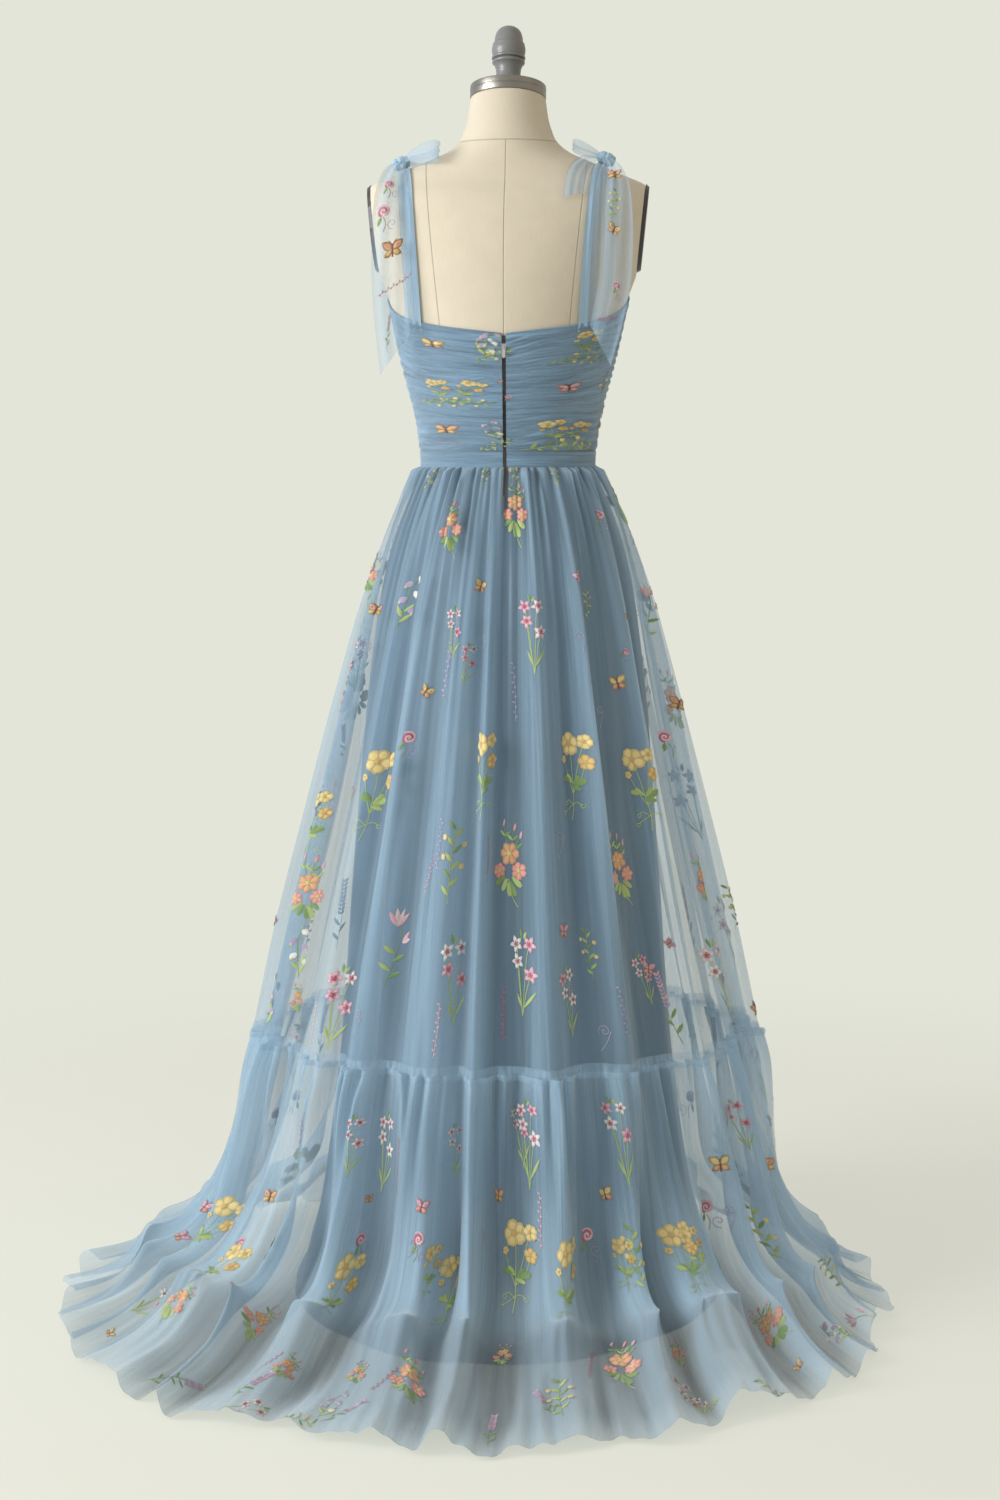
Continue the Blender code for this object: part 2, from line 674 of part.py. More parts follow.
def make_pull():
    """The pull tab hangs straight down; its origin is the hinge's middle."""
    hinge = slider_frame() @ Vector((0, -SLIDER_SIZE[1] - PIN_REACH, PIN_UP))
    pull = add_bmesh("zip_pull", rod(EYE_RADIUS, 2 * EYE_HALF, (0, 0, 0)), "zip metal")
    neck_middle = (0, 0, -EYE_RADIUS / 2 - PULL_NECK / 2)
    neck = box((2 * EYE_HALF - GAP, PULL_WALL, PULL_NECK), neck_middle)
    tab_tall = PULL_LENGTH - TAB_TOP
    tab = box((PULL_WIDTH, PULL_WALL, tab_tall), (0, 0, -TAB_TOP - tab_tall / 2))
    upright = [e for e in tab.edges if abs(e.verts[0].co.y - e.verts[1].co.y) > PULL_WALL / 2]
    bmesh.ops.bevel(tab, geom=upright, offset=TAB_ROUND, segments=2, affect="EDGES")
    hole = rod(EYE_HOLE, 4 * EYE_HALF, (0, 0, 0), 12)
    helpers = (("neck", neck, "UNION"), ("tab", tab, "UNION"), ("hole", hole, "DIFFERENCE"))
    for name, shape, operation in helpers:
        helper = add_bmesh(name, shape, "zip metal")
        helper.location = hinge
        combine(pull, helper, operation)
    pull.location = hinge


# ---- Skirts


def waves(turn, count, seed):
    """Uneven folds round the gown, from -1 to 1; the seed moves them."""
    a = FULL_TURN * turn
    bend = 0.9 * np.sin(2 * a + seed) + 0.6 * np.sin(3 * a + 1.9 * seed) + 0.4 * np.sin(5 * a + 0.7)
    size = 0.72 + 0.18 * np.sin(4 * a + 2.3 * seed) + 0.10 * np.sin(9 * a + seed)
    return size * np.cos(count * a + bend)


def skirt_middle(rows, turn):
    """The smooth surface that a skirt's folds lie on, rows by columns."""
    a = FULL_TURN * turn[None, :]
    column = {name: values[:, None] for name, values in rows.items()}
    sine, cosine = np.sin(a), np.cos(a)
    wander = 0.014 * np.sin(7 * a + 1.0) + 0.011 * np.sin(11 * a + 2.4) + 0.008 * np.sin(17 * a)
    reach = 1 + column["stray"] * wander * (0.35 + 0.65 * np.clip(0.6 + cosine, 0, 1))
    x = np.where(sine < 0, column["left"], column["right"]) * sine * reach
    depth = np.where(
        cosine > 0, column["back"] + column["centre"], column["front"] - column["centre"]
    )
    y = column["centre"] - depth * cosine * reach
    end_z = np.where(cosine > 0, column["back_z"], column["front_z"])
    z = column["z"] + (end_z - column["z"]) * cosine**2
    return np.stack([x, y, z], axis=-1)


def grid_normals(grid):
    """Unit normals of a grid that closes round its columns."""
    down = np.gradient(grid, axis=0)
    along = np.roll(grid, -1, axis=1) - np.roll(grid, 1, axis=1)
    normal = np.cross(down, along)
    return normal / np.linalg.norm(normal, axis=2)[:, :, None]


def skirt_grids(rows, columns, gathers, folds, hem_folds, seed, thickness):
    """Outer and inner points of a skirt's wall: waves raised off the smooth surface.

    Where the cloth hangs its waves are level, and where it is lifted they stand square to it.
    """
    turn = np.arange(columns) / columns
    middle = skirt_middle(rows, turn)
    middle[0, :, 2] -= GAP
    column = {name: values[:, None] for name, values in rows.items()}
    fan = column["fan"]
    fold = waves(turn, folds, seed) * (1 - fan) + waves(turn, hem_folds, seed + 1.3) * fan
    unevenness = 0.8 + 0.2 * np.sin(9 * FULL_TURN * turn + seed)
    gather = np.cos(FULL_TURN * gathers * turn) * unevenness
    height = column["fold"] * (fold + column["lift"]) + column["gather"] * gather
    out = grid_normals(middle)
    out[:, :, 2] *= np.clip(column["lift"], 0, 1)
    out /= np.linalg.norm(out, axis=2)[:, :, None]
    outer = middle + height[:, :, None] * out
    slope = np.clip(np.sum(grid_normals(outer) * out, axis=2), 0.5, 1)
    inner = outer - (thickness / slope)[:, :, None] * out
    inner[:, :, 2] = np.maximum(inner[:, :, 2], FLOOR_GAP)
    least = 0.6 * thickness * np.abs(out[:, :, 2])
    outer[:, :, 2] = np.maximum(outer[:, :, 2], inner[:, :, 2] + least)
    return outer, inner


def lining_grids():
    return skirt_grids(
        LINING, LINING_COLUMNS, 0, LINING_FOLDS, LINING_FOLDS, LINING_SEED, LINING_WALL
    )


def make_skirt_panels(name, grids, look, opening=None):
    """Front, back left and back right panels of a skirt, with seams at the sides and back."""
    columns = grids[0].shape[1]
    quarter = columns // 4
    panels = (
        (f"{name}_back_right", 0, quarter, {"start_at": opening}),
        (f"{name}_front", quarter, 3 * quarter, {}),
        (f"{name}_back_left", 3 * quarter, columns, {"end_at": opening}),
    )
    for panel, first, last, edges in panels:
        outer, inner = (part_columns(grid, first, last, **edges) for grid in grids)
        wall(panel, outer, inner, look)


def make_lining():
    grids = lining_grids()
    quarter = LINING_COLUMNS // 4
    panels = (("lining_front", quarter, 3 * quarter), ("lining_back", 3 * quarter, 5 * quarter))
    for name, first, last in panels:
        outer, inner = (part_columns(grid, first, last) for grid in grids)
        wall(name, outer, inner, "lining")


def make_skirt():
    zip_opening = np.where(TIER["z"] > ZIP_END - 0.03, OPENING_HALF, GAP / 2)
    for name, rows, gathers, opening in (
        ("skirt", TIER, WAIST_GATHERS, zip_opening),
        ("flounce", FLOUNCE, FLOUNCE_GATHERS, np.full(len(FLOUNCE["z"]), GAP / 2)),
    ):
        grids = skirt_grids(
            rows, 2 * gathers, gathers, TIER_FOLDS, FLOUNCE_FOLDS, FOLD_SEED, SKIRT_WALL
        )
        make_skirt_panels(name, grids, "tulle", opening)


# ---- Straps and bows


def over_shoulder(x, foot_z, front, share):
    """A point and its outward direction on the form, share of the way from foot_z to the knot."""
    top = shoulder_z(x) - 2 * GAP
    heights = foot_z + (top - foot_z) * np.sin(np.linspace(0, QUARTER_TURN, 60))
    path = np.array([(form_side(x, z, front), z) for z in heights])
    away = 1 if front else -1
    path = path[path[:, 0] * away > STRAP_END]
    length = np.concatenate(([0], np.cumsum(np.linalg.norm(np.diff(path, axis=0), axis=1))))
    at = share * length[-1]
    y, z = (np.interp(at, length, path[:, i]) for i in (0, 1))
    reach = 0.004  # to each side, to smooth the direction
    before, beyond = ([np.interp(at + d, length, path[:, i]) for i in (0, 1)] for d in (-reach, reach))
    along = np.array(beyond) - np.array(before)
    along /= np.linalg.norm(along)
    out = np.array([0, along[1] * away, -along[0] * away])
    return np.array([x, y, z]), out


def make_strap(side, bow, front):
    """A band that lies on the form from the bodice's edge to the knot on the shoulder."""
    foot_x = bow["front_x"] if front else bow["foot_x"]
    turns = np.arange(STATIONS + 1) / STATIONS
    heights = neckline(turns)
    rim = np.array([form_ring(z)[k % STATIONS] for k, z in enumerate(heights)])
    picked = rim[:, 1] > 0 if front else rim[:, 1] <= 0
    order = np.argsort(rim[picked, 0])
    outer, inner = [], []
    offsets = np.linspace(-STRAP_WIDTH / 2, STRAP_WIDTH / 2, 3)
    if front:
        offsets = offsets[::-1]
    for share in np.linspace(1, 0, STRAP_ROWS) ** 0.6:
        middle_x = foot_x + (bow["knot_x"] - foot_x) * share
        row = []
        for offset in offsets * (1 - STRAP_NARROWED * share):
            x = middle_x + offset
            foot_z = np.interp(foot_x + offset, rim[picked, 0][order], rim[picked, 2][order])
            row.append(over_shoulder(x, foot_z + 2 * GAP, front, share))
        outer.append([p + (STRAP_CLEAR + STRAP_WALL) * out for p, out in row])
        inner.append([p + STRAP_CLEAR * out for p, out in row])
    name = f"strap_{'front' if front else 'back'}_{side}"
    wall(name, np.array(outer), np.array(inner), "tulle")


def knot_frame(bow):
    """The knot lies on the straps' ends, along the shoulder's slope."""
    x = bow["knot_x"]
    slope = math.atan2(shoulder_z(x + 0.01) - shoulder_z(x - 0.01), 0.02)
    lift = STRAP_CLEAR + STRAP_WALL - KNOT_SINK + KNOT_SIZE[2]
    middle = (x - lift * math.sin(slope), 0, shoulder_z(x) + lift * math.cos(slope))
    return Matrix.Translation(middle) @ Matrix.Rotation(-slope, 4, "Y")


def knot_seat(bow, toward):
    """The place just off a knot's surface, on the way from its middle to a point."""
    way = knot_frame(bow).inverted() @ Vector(toward)
    reach = sum(abs(c / half) ** 3 for c, half in zip(way, KNOT_SIZE)) ** (-1 / 3)
    return np.array(knot_frame(bow) @ (reach * way + KNOT_CLEAR * way.normalized()))


def make_knot(side, bow):
    """A rounded block."""
    shape = bmesh.new()
    bmesh.ops.create_uvsphere(shape, u_segments=12, v_segments=7, radius=1)
    for vert in shape.verts:
        size = sum(abs(c) ** 3 for c in vert.co) ** (1 / 3)
        vert.co = Vector([c / size * half for c, half in zip(vert.co, KNOT_SIZE)])
    add_bmesh(f"knot_{side}", shape, "tulle", knot_frame(bow))


def ribbon(name, route, across, widths, ripple=0.0, slant=0.0, columns=5, rows=9):
    """A band along a smooth route, from its root; slant cuts its far end."""
    route = np.array(route, float)
    marks = np.concatenate(([0], np.cumsum(np.linalg.norm(np.diff(route, axis=0), axis=1))))
    at = np.linspace(0, marks[-1], rows)
    middle = np.stack([curve(at, marks, route[:, i]) for i in range(3)], axis=-1)
    along = np.gradient(middle, axis=0)
    along /= np.linalg.norm(along, axis=1)[:, None]
    sides = np.array(across) - (along @ np.array(across))[:, None] * along
    sides /= np.linalg.norm(sides, axis=1)[:, None]
    out = np.cross(along, sides)
    place = np.linspace(-0.5, 0.5, columns)[None, :, None]
    share = (at / marks[-1])[:, None, None]
    width = curve(at, marks, np.array(widths, float))[:, None, None]
    grid = middle[:, None] + sides[:, None] * width * place
    grid += along[:, None] * slant * share**2 * place
    grid += out[:, None] * ripple * share * np.cos(FULL_TURN * 1.25 * place + 0.6)
    half = STRAP_WALL / 2 * out[:, None]
    wall(name, grid + half, grid - half, "tulle")


def make_ends():
    for name, end in ENDS.items():
        points = np.array(end["route"])
        points[0, :3] = knot_seat(BOWS[name.split("_")[-1]], points[0, :3])
        ribbon(name, points[:, :3], end["across"], points[:, 3], end["ripple"], end["slant"])


def make_loops():
    """Each loop leaves the knot, turns at its tip and comes back, with its middle open."""
    for name, loop in LOOPS.items():
        root, tip = knot_seat(BOWS[name.split("_")[-1]], loop["root"]), np.array(loop["tip"])
        aside = np.cross(LOOP_ACROSS, tip - root)
        aside /= np.linalg.norm(aside)
        t = np.linspace(LOOP_START, 1 - LOOP_START, 13)[:, None]
        start = math.sin(math.pi * LOOP_START)
        route = root + (tip - root) * (np.sin(math.pi * t) - start) / (1 - start)
        route += aside * loop["puff"] * np.sin(FULL_TURN * t)
        widths = loop["width"] * (0.35 + 0.65 * np.sin(math.pi * t[:, 0]))
        ribbon(name, route, LOOP_ACROSS, widths, columns=3, rows=13)


def main():
    clear_scene()
    make_form()
    make_plates()
    make_neck_cap()
    make_stand()
    make_bodice()
    make_waistband()
    make_lining()
    make_skirt()
    make_zip_tape()
    make_slider()
    make_pull()
    for side, bow in BOWS.items():
        make_strap(side, bow, front=False)
        make_strap(side, bow, front=True)
        make_knot(side, bow)
    make_ends()
    make_loops()


main()
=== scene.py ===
"""The looks of a tulle A-line gown on a dress form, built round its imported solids, in metres, +Z up.

The back of the gown faces -Y and the wearer's right is +X. A turn runs round the gown from the
centre back (0) by the wearer's right side (0.25) to the centre front (0.5).
"""

import math

import bpy
import numpy as np
from bpy.props import FloatProperty, FloatVectorProperty, IntProperty, PointerProperty
from bpy.types import Operator, Panel, PropertyGroup
from mathutils import Matrix, Vector


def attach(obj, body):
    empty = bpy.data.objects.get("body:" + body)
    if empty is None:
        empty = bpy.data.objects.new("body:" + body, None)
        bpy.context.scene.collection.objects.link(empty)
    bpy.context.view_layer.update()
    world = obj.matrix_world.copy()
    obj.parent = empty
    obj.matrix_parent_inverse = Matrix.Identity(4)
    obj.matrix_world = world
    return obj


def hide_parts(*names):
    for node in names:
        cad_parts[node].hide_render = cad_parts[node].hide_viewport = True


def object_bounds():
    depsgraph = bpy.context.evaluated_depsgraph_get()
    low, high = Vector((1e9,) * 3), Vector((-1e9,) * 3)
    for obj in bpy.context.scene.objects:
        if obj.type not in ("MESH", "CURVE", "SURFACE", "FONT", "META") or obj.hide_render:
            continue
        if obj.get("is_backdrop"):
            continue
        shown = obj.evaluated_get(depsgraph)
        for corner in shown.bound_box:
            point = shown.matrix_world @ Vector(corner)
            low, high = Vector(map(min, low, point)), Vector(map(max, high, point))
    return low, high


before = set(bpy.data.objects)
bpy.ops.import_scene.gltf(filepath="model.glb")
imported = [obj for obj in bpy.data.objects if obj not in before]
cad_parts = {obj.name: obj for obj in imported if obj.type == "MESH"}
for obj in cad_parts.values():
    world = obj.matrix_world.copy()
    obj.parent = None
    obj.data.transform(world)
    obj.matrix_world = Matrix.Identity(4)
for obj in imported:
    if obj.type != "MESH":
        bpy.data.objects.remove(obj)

bl_info = {
    "name": "Tulle gown on a dress form",
    "version": (1, 0, 0),
    "blender": (4, 5, 0),
    "location": "View3D > Sidebar > Gown",
    "description": "Builds the cloth, the embroidery and the form of an embroidered tulle gown",
    "category": "Object",
}

CAD_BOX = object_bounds()
BODY = "gown_on_form"
FULL_TURN = 2 * math.pi
GAP = 0.0003

# Heights and clearances shared with the solids
WAIST = 1.065
BAND_TOP = 1.0865
TIER_SEAM = 0.325
ZIP_END = 1.005
ZIP_TOP = 1.2135
OPENING_HALF = 0.0024
SLIT_HALF = 0.0010
BODICE_OPENING_HALF = 0.0020
BAND_ROUND = 0.70
NECK_TOP = 1.5425
NECK_TILT = math.radians(13)
TILT_FROM = 1.486
BODICE_CLEAR = 0.0013
BODICE_WALL = 0.0012
BUST_EASE = 0.0048
BUST = {"front": 0.10, "across": 0.074, "z": 1.222, "reach": 0.016, "wide": 0.042, "tall": 0.050}
PLATE = {"x": 0.1745, "z": 1.376, "lean": 0.10}
FLOOR_CLEAR = 0.0012
CAMERA = {"place": (0.204, -4.095, 1.14), "pitch": 6.3, "turn": 3.0, "lens": 74.0}


def rows_of(text):
    """Numbers of a short table, its rows parted by semicolons."""
    return np.array([row.split() for row in text.split(";")], float)


def table(names, text):
    """A short table, read by the names of its columns."""
    return dict(zip(names.split(), rows_of(text).T))


FORM = table("z half_width back front", f"""
    .8 .158 .112 .102; .84 .165 .121 .108; .88 .166 .124 .109; .92 .16 .12 .107; .96 .149 .112 .102;
    1 .136 .101 .096; 1.03 .1225 .092 .09; 1.065 .1125 .084 .086; 1.087 .1135 .0835 .088;
    1.1265 .1183 .0885 .094; 1.18 .1312 .099 .102; 1.2315 .144 .108 .106; 1.28 .156 .112 .104;
    1.33 .174 .112 .098; 1.38 .186 .104 .088; 1.42 .187 .086 .068; 1.433 .178 .074 .056;
    1.443 .155 .069 .053; 1.453 .13 .066 .051; 1.463 .106 .063 .05; 1.473 .083 .061 .049;
    1.486 .066 .058 .049; 1.505 .0565 .053 .049; {NECK_TOP} .049 .049 .049""")
NECKLINE = table("turn z", """
    0 1.2365; .13 1.252; .2 1.266; .25 1.282; .36 1.3; .43 1.292; .5 1.272""")

# A skirt's rows, from its seam down. z is given at the sides, the back and the front; left, right,
# back and front are how far the cloth reaches from the pole, and centre is the y where it is widest.
# gather and fold are heights of waves, fan is how far the upper folds have changed into the hem's,
# lift raises folds off the floor, and stray is how far the hem wanders.
ROW = "z back_z front_z left right back front centre gather fold fan lift stray"
TIER = table(ROW, f"""
    {WAIST} {WAIST} {WAIST} .1197 .1197 .091 .0932 0 .002 0 0 0 0;
    1.035 1.035 1.035 .135 .135 .1075 .108 0 .003 .001 0 0 0;
    .98 .98 .98 .158 .158 .135 .129 0 .003 .003 0 0 0;
    .89 .89 .89 .185 .185 .18 .149 -.01 .0026 .007 0 0 0;
    .77 .77 .77 .213 .213 .227 .175 -.022 .0018 .011 0 0 0;
    .63 .63 .63 .245 .245 .278 .203 -.035 .001 .015 0 0 0;
    .47 .47 .47 .285 .283 .333 .236 -.05 .0006 .018 0 0 0;
    {TIER_SEAM} {TIER_SEAM} {TIER_SEAM} .319 .318 .383 .266 -.06 .0004 .018 0 0 0""")
FLOUNCE = table(ROW, f"""
    {TIER_SEAM} {TIER_SEAM} {TIER_SEAM} .319 .318 .383 .266 -.06 .003 .018 0 0 0;
    .265 .265 .265 .337 .334 .402 .278 -.065 .006 .018 .2 0 0;
    .18 .175 .185 .357 .351 .428 .291 -.077 .004 .021 .5 0 .1;
    .09 .08 .1 .397 .377 .478 .305 -.108 .002 .022 .9 0 .3;
    .03 .024 .045 .446 .408 .56 .313 -.148 .0006 .017 1 1 .5;
    .007 .006 .014 .502 .452 .695 .319 -.203 .0004 .01 1 1 .8;
    .002 .002 .002 .56 .497 .83 .323 -.25 .0004 .005 1 1 1""")
LINING = table(ROW, f"""
    {WAIST} {WAIST} {WAIST} .1149 .1149 .0864 .0884 0 0 0 0 0 0;
    1.02 1.02 1.02 .1325 .1325 .102 .098 0 0 0 0 0 0; .96 .96 .96 .1545 .1545 .122 .112 0 0 0 0 0 0;
    .88 .88 .88 .172 .172 .148 .126 -.008 0 .002 0 0 0;
    .74 .74 .74 .189 .189 .198 .152 -.022 0 .004 0 0 0;
    .53 .53 .53 .204 .205 .25 .184 -.038 0 .007 0 0 0; .3 .3 .3 .219 .223 .311 .21 -.052 0 .008 0 0 0;
    .11 .105 .115 .242 .252 .392 .236 -.076 0 .01 0 0 0;
    .026 .024 .03 .256 .27 .455 .25 -.095 0 .007 0 1 0;
    .002 .002 .002 .272 .288 .515 .268 -.11 0 .003 0 1 0""")

# A half bow on each shoulder: x of its knot, and of its straps' feet at the back and at the front
BOWS = {
    "left": {"knot_x": -0.1365, "foot_x": -0.1165, "front_x": -0.098},
    "right": {"knot_x": 0.1245, "foot_x": 0.1030, "front_x": 0.098},
}
STRAP_WIDTH = 0.0215
STRAP_NARROWED = 0.25
STRAP_CLEAR = 0.0018
STRAP_WALL = 0.0011
STRAP_TUCK = 0.012  # how far a strap's foot goes down inside the bodice
RIM_HALF = 0.146  # half the form's width where the straps leave the bodice
KNOT_SIZE = (0.0125, 0.0125, 0.0090)
KNOT_SINK = 0.0006
KNOT_CLEAR = 0.0010
# The bows' free ends: the band's way across, its ripple and its slant, then its route from the
# knot down as x, y, z and the band's width
ENDS = {
    "tail_left": ((1, 0, 0), 0.0025, -0.05, """
        -.1395 -.0138 1.4635 .012; -.144 -.034 1.4535 .026; -.1465 -.062 1.429 .04;
        -.1465 -.084 1.395 .048; -.1465 -.094 1.35 .05; -.146 -.096 1.3 .05; -.144 -.096 1.25 .046;
        -.1415 -.096 1.2105 .042"""),
    "tail_right": ((1, 0, 0), 0.0025, 0.045, """
        .1285 -.0138 1.4675 .01; .136 -.034 1.456 .022; .142 -.062 1.431 .034; .144 -.084 1.397 .04;
        .144 -.094 1.35 .042; .141 -.097 1.3 .042; .133 -.098 1.26 .042; .1235 -.098 1.2225 .04"""),
    "short_end_right": ((0.92, 0, -0.39), 0.001, -0.014, """
        .113 -.0138 1.468 .01; .106 -.033 1.463 .02; .0965 -.056 1.451 .027; .0915 -.073 1.4335 .029;
        .089 -.087 1.414 .028"""),
    "short_end_left": ((-0.92, 0, -0.39), 0.001, 0.014, """
        -.126 .0138 1.462 .01; -.119 .031 1.456 .02; -.11 .048 1.446 .027; -.105 .06 1.43 .029;
        -.102 .074 1.412 .028"""),
}
LOOPS = {
    "loop_left": {"root": (-0.1245, -0.0120, 1.470), "tip": (-0.0880, -0.0580, 1.4740)}
    | {"width": 0.028, "puff": 0.0090},
    "loop_right": {"root": (0.1120, 0.0020, 1.474), "tip": (0.0850, -0.0060, 1.4835)}
    | {"width": 0.017, "puff": 0.0060},
}
LOOP_ACROSS = (0, -0.55, -0.835)
LOOP_START = 0.05

# Creases laid on the folds: where they start and end, as shares of the cloth's length from
# its upper seam, how high they stand (below 0, how deep they cut), how wide and how slanted they are.
CREASE = "turn start end height width slant"
TIER_CREASES = table(CREASE, """
    -.205 .02 .62 .004 .008 .01; -.15 0 .8 -.005 .007 -.006; -.118 .04 .46 .005 .006 .008;
    -.072 0 .9 .006 .006 -.004; -.05 .1 .74 -.006 .006 .003; -.026 0 .4 .0045 .005 .004;
    .012 .3 .95 .005 .006 -.003; .034 0 .85 -.006 .006 .004; .058 .05 .55 .0055 .005 .006;
    .086 0 .92 .006 .006 .002; .12 .02 .5 -.0045 .006 -.007; .155 .1 .85 .005 .008 .008;
    .212 0 .6 .004 .008 -.01; .29 .05 .75 .0045 .008 .008; .345 0 .55 -.005 .007 -.004;
    .392 .08 .88 .0055 .007 .004; .44 0 .48 .0045 .006 -.003; .486 .05 .92 -.0055 .007 .003;
    .53 0 .64 .005 .006 -.004; .585 .1 .9 .0055 .007 .005; .64 0 .52 -.005 .007 .006;
    .7 .04 .8 .0045 .008 -.008""")
FLOUNCE_CREASES = table(CREASE, """
    -.215 0 .62 .006 .008 -.014; -.165 0 .42 -.006 .007 -.006; -.122 .05 .85 .007 .007 -.01;
    -.083 0 .34 .007 .005 .004; -.058 0 .55 -.007 .006 -.004; -.024 .02 .9 .007 .006 .006;
    .014 0 .4 -.007 .005 .002; .038 0 .66 .0075 .006 .008; .076 0 .36 .0065 .006 -.004;
    .104 .04 .8 -.006 .007 .01; .148 0 .52 .0065 .007 .012; .196 0 .74 .006 .008 .01;
    .27 0 .6 -.0055 .008 .004; .33 0 .45 .006 .007 -.004; .378 .03 .8 .006 .007 .006;
    .43 0 .5 -.006 .006 -.003; .472 0 .7 .0065 .006 .004; .524 0 .42 .006 .006 -.004;
    .576 .05 .85 -.006 .007 .004; .636 0 .56 .006 .007 -.008; .7 0 .66 .006 .008 .006""")


# ---- Curves and cloth surfaces


def curve(at, xs, ys):
    """A smooth curve through the points (xs, ys), read at each value of at; xs rise."""
    at = np.clip(at, xs[0], xs[-1])
    slopes = np.gradient(ys, xs)
    i = np.clip(np.searchsorted(xs, at) - 1, 0, len(xs) - 2)
    span = xs[i + 1] - xs[i]
    t = (at - xs[i]) / span
    start = ys[i] * (2 * t**3 - 3 * t**2 + 1) + slopes[i] * span * (t**3 - 2 * t**2 + t)
    return start + ys[i + 1] * (3 * t**2 - 2 * t**3) + slopes[i + 1] * span * (t**3 - t**2)


def ease(value, low, high):
    """0 below low, 1 above high and a smooth step between."""
    t = np.clip((value - low) / (high - low), 0, 1)
    return t * t * (3 - 2 * t)


def mound(value, middle, width):
    """1 at the middle, falling away smoothly on both sides."""
    return np.exp(-(((value - middle) / width) ** 2))


def aside(turn):
    """Turns from the centre back, below 0 to the left."""
    return (turn + 0.5) % 1 - 0.5


def unit(vectors):
    """Vectors brought to a length of 1."""
    return vectors / np.maximum(np.linalg.norm(vectors, axis=-1, keepdims=True), 1e-12)


def grid(rows, columns, low=0.0, high=1.0):
    """Even shares down (0 to 1) and across (low to high), to be spread over a grid."""
    return np.linspace(0, 1, rows)[:, None], np.linspace(low, high, columns)[None, :]


def bust_lobe(x, y, z):
    """How far a place on the front belongs to one of the two rounds of the bust, from 0 to 1."""
    round_bust = mound(np.abs(x), BUST["across"], BUST["wide"]) * mound(z, BUST["z"], BUST["tall"])
    return round_bust * np.clip(y / BUST["front"], 0, 1)


def form_reach(z):
    """The form's half width, and how far its back and front lie from its middle."""
    return (curve(z, FORM["z"], FORM[column]) for column in ("half_width", "back", "front"))


def form_point(turn, z, off=0.0):
    """Points of the form's surface at turns and heights, moved out level by off."""
    turn, z, off = np.broadcast_arrays(turn, z, off)
    half_width, back, front = form_reach(z)

    def surface(angle):
        x = half_width * np.sin(angle)
        y = -np.where(np.cos(angle) > 0, back, front) * np.cos(angle)
        y = y + BUST["reach"] * bust_lobe(x, y, z)
        flat = PLATE["x"] + PLATE["lean"] * (z - PLATE["z"])
        return np.clip(x, -flat, flat), y

    a, step = FULL_TURN * turn, 0.004
    x, y = surface(a)
    (x0, y0), (x1, y1) = surface(a - step), surface(a + step)
    along = np.hypot(x1 - x0, y1 - y0)
    x, y = x + off * (y1 - y0) / along, y - off * (x1 - x0) / along
    tilt = np.clip((z - TILT_FROM) / (NECK_TOP - TILT_FROM), 0, 1) * math.tan(NECK_TILT)
    return np.stack([x, y, z - tilt * y], axis=-1)


def neckline(turn):
    """Height of the bodice's upper edge at a turn from the centre back."""
    return curve(np.abs(aside(turn)), NECKLINE["turn"], NECKLINE["z"])


def waves(turn, count, seed):
    """Uneven folds round the gown, from -1 to 1; the seed moves them."""
    a = FULL_TURN * turn
    a = a + 0.035 * np.sin(11 * a + 1.0) + 0.022 * np.sin(19 * a + 2.0)
    bend = 0.9 * np.sin(2 * a + seed) + 0.6 * np.sin(3 * a + 1.9 * seed) + 0.4 * np.sin(5 * a + 0.7)
    size = 0.72 + 0.18 * np.sin(4 * a + 2.3 * seed) + 0.10 * np.sin(9 * a + seed)
    return size * np.cos(count * a + bend)


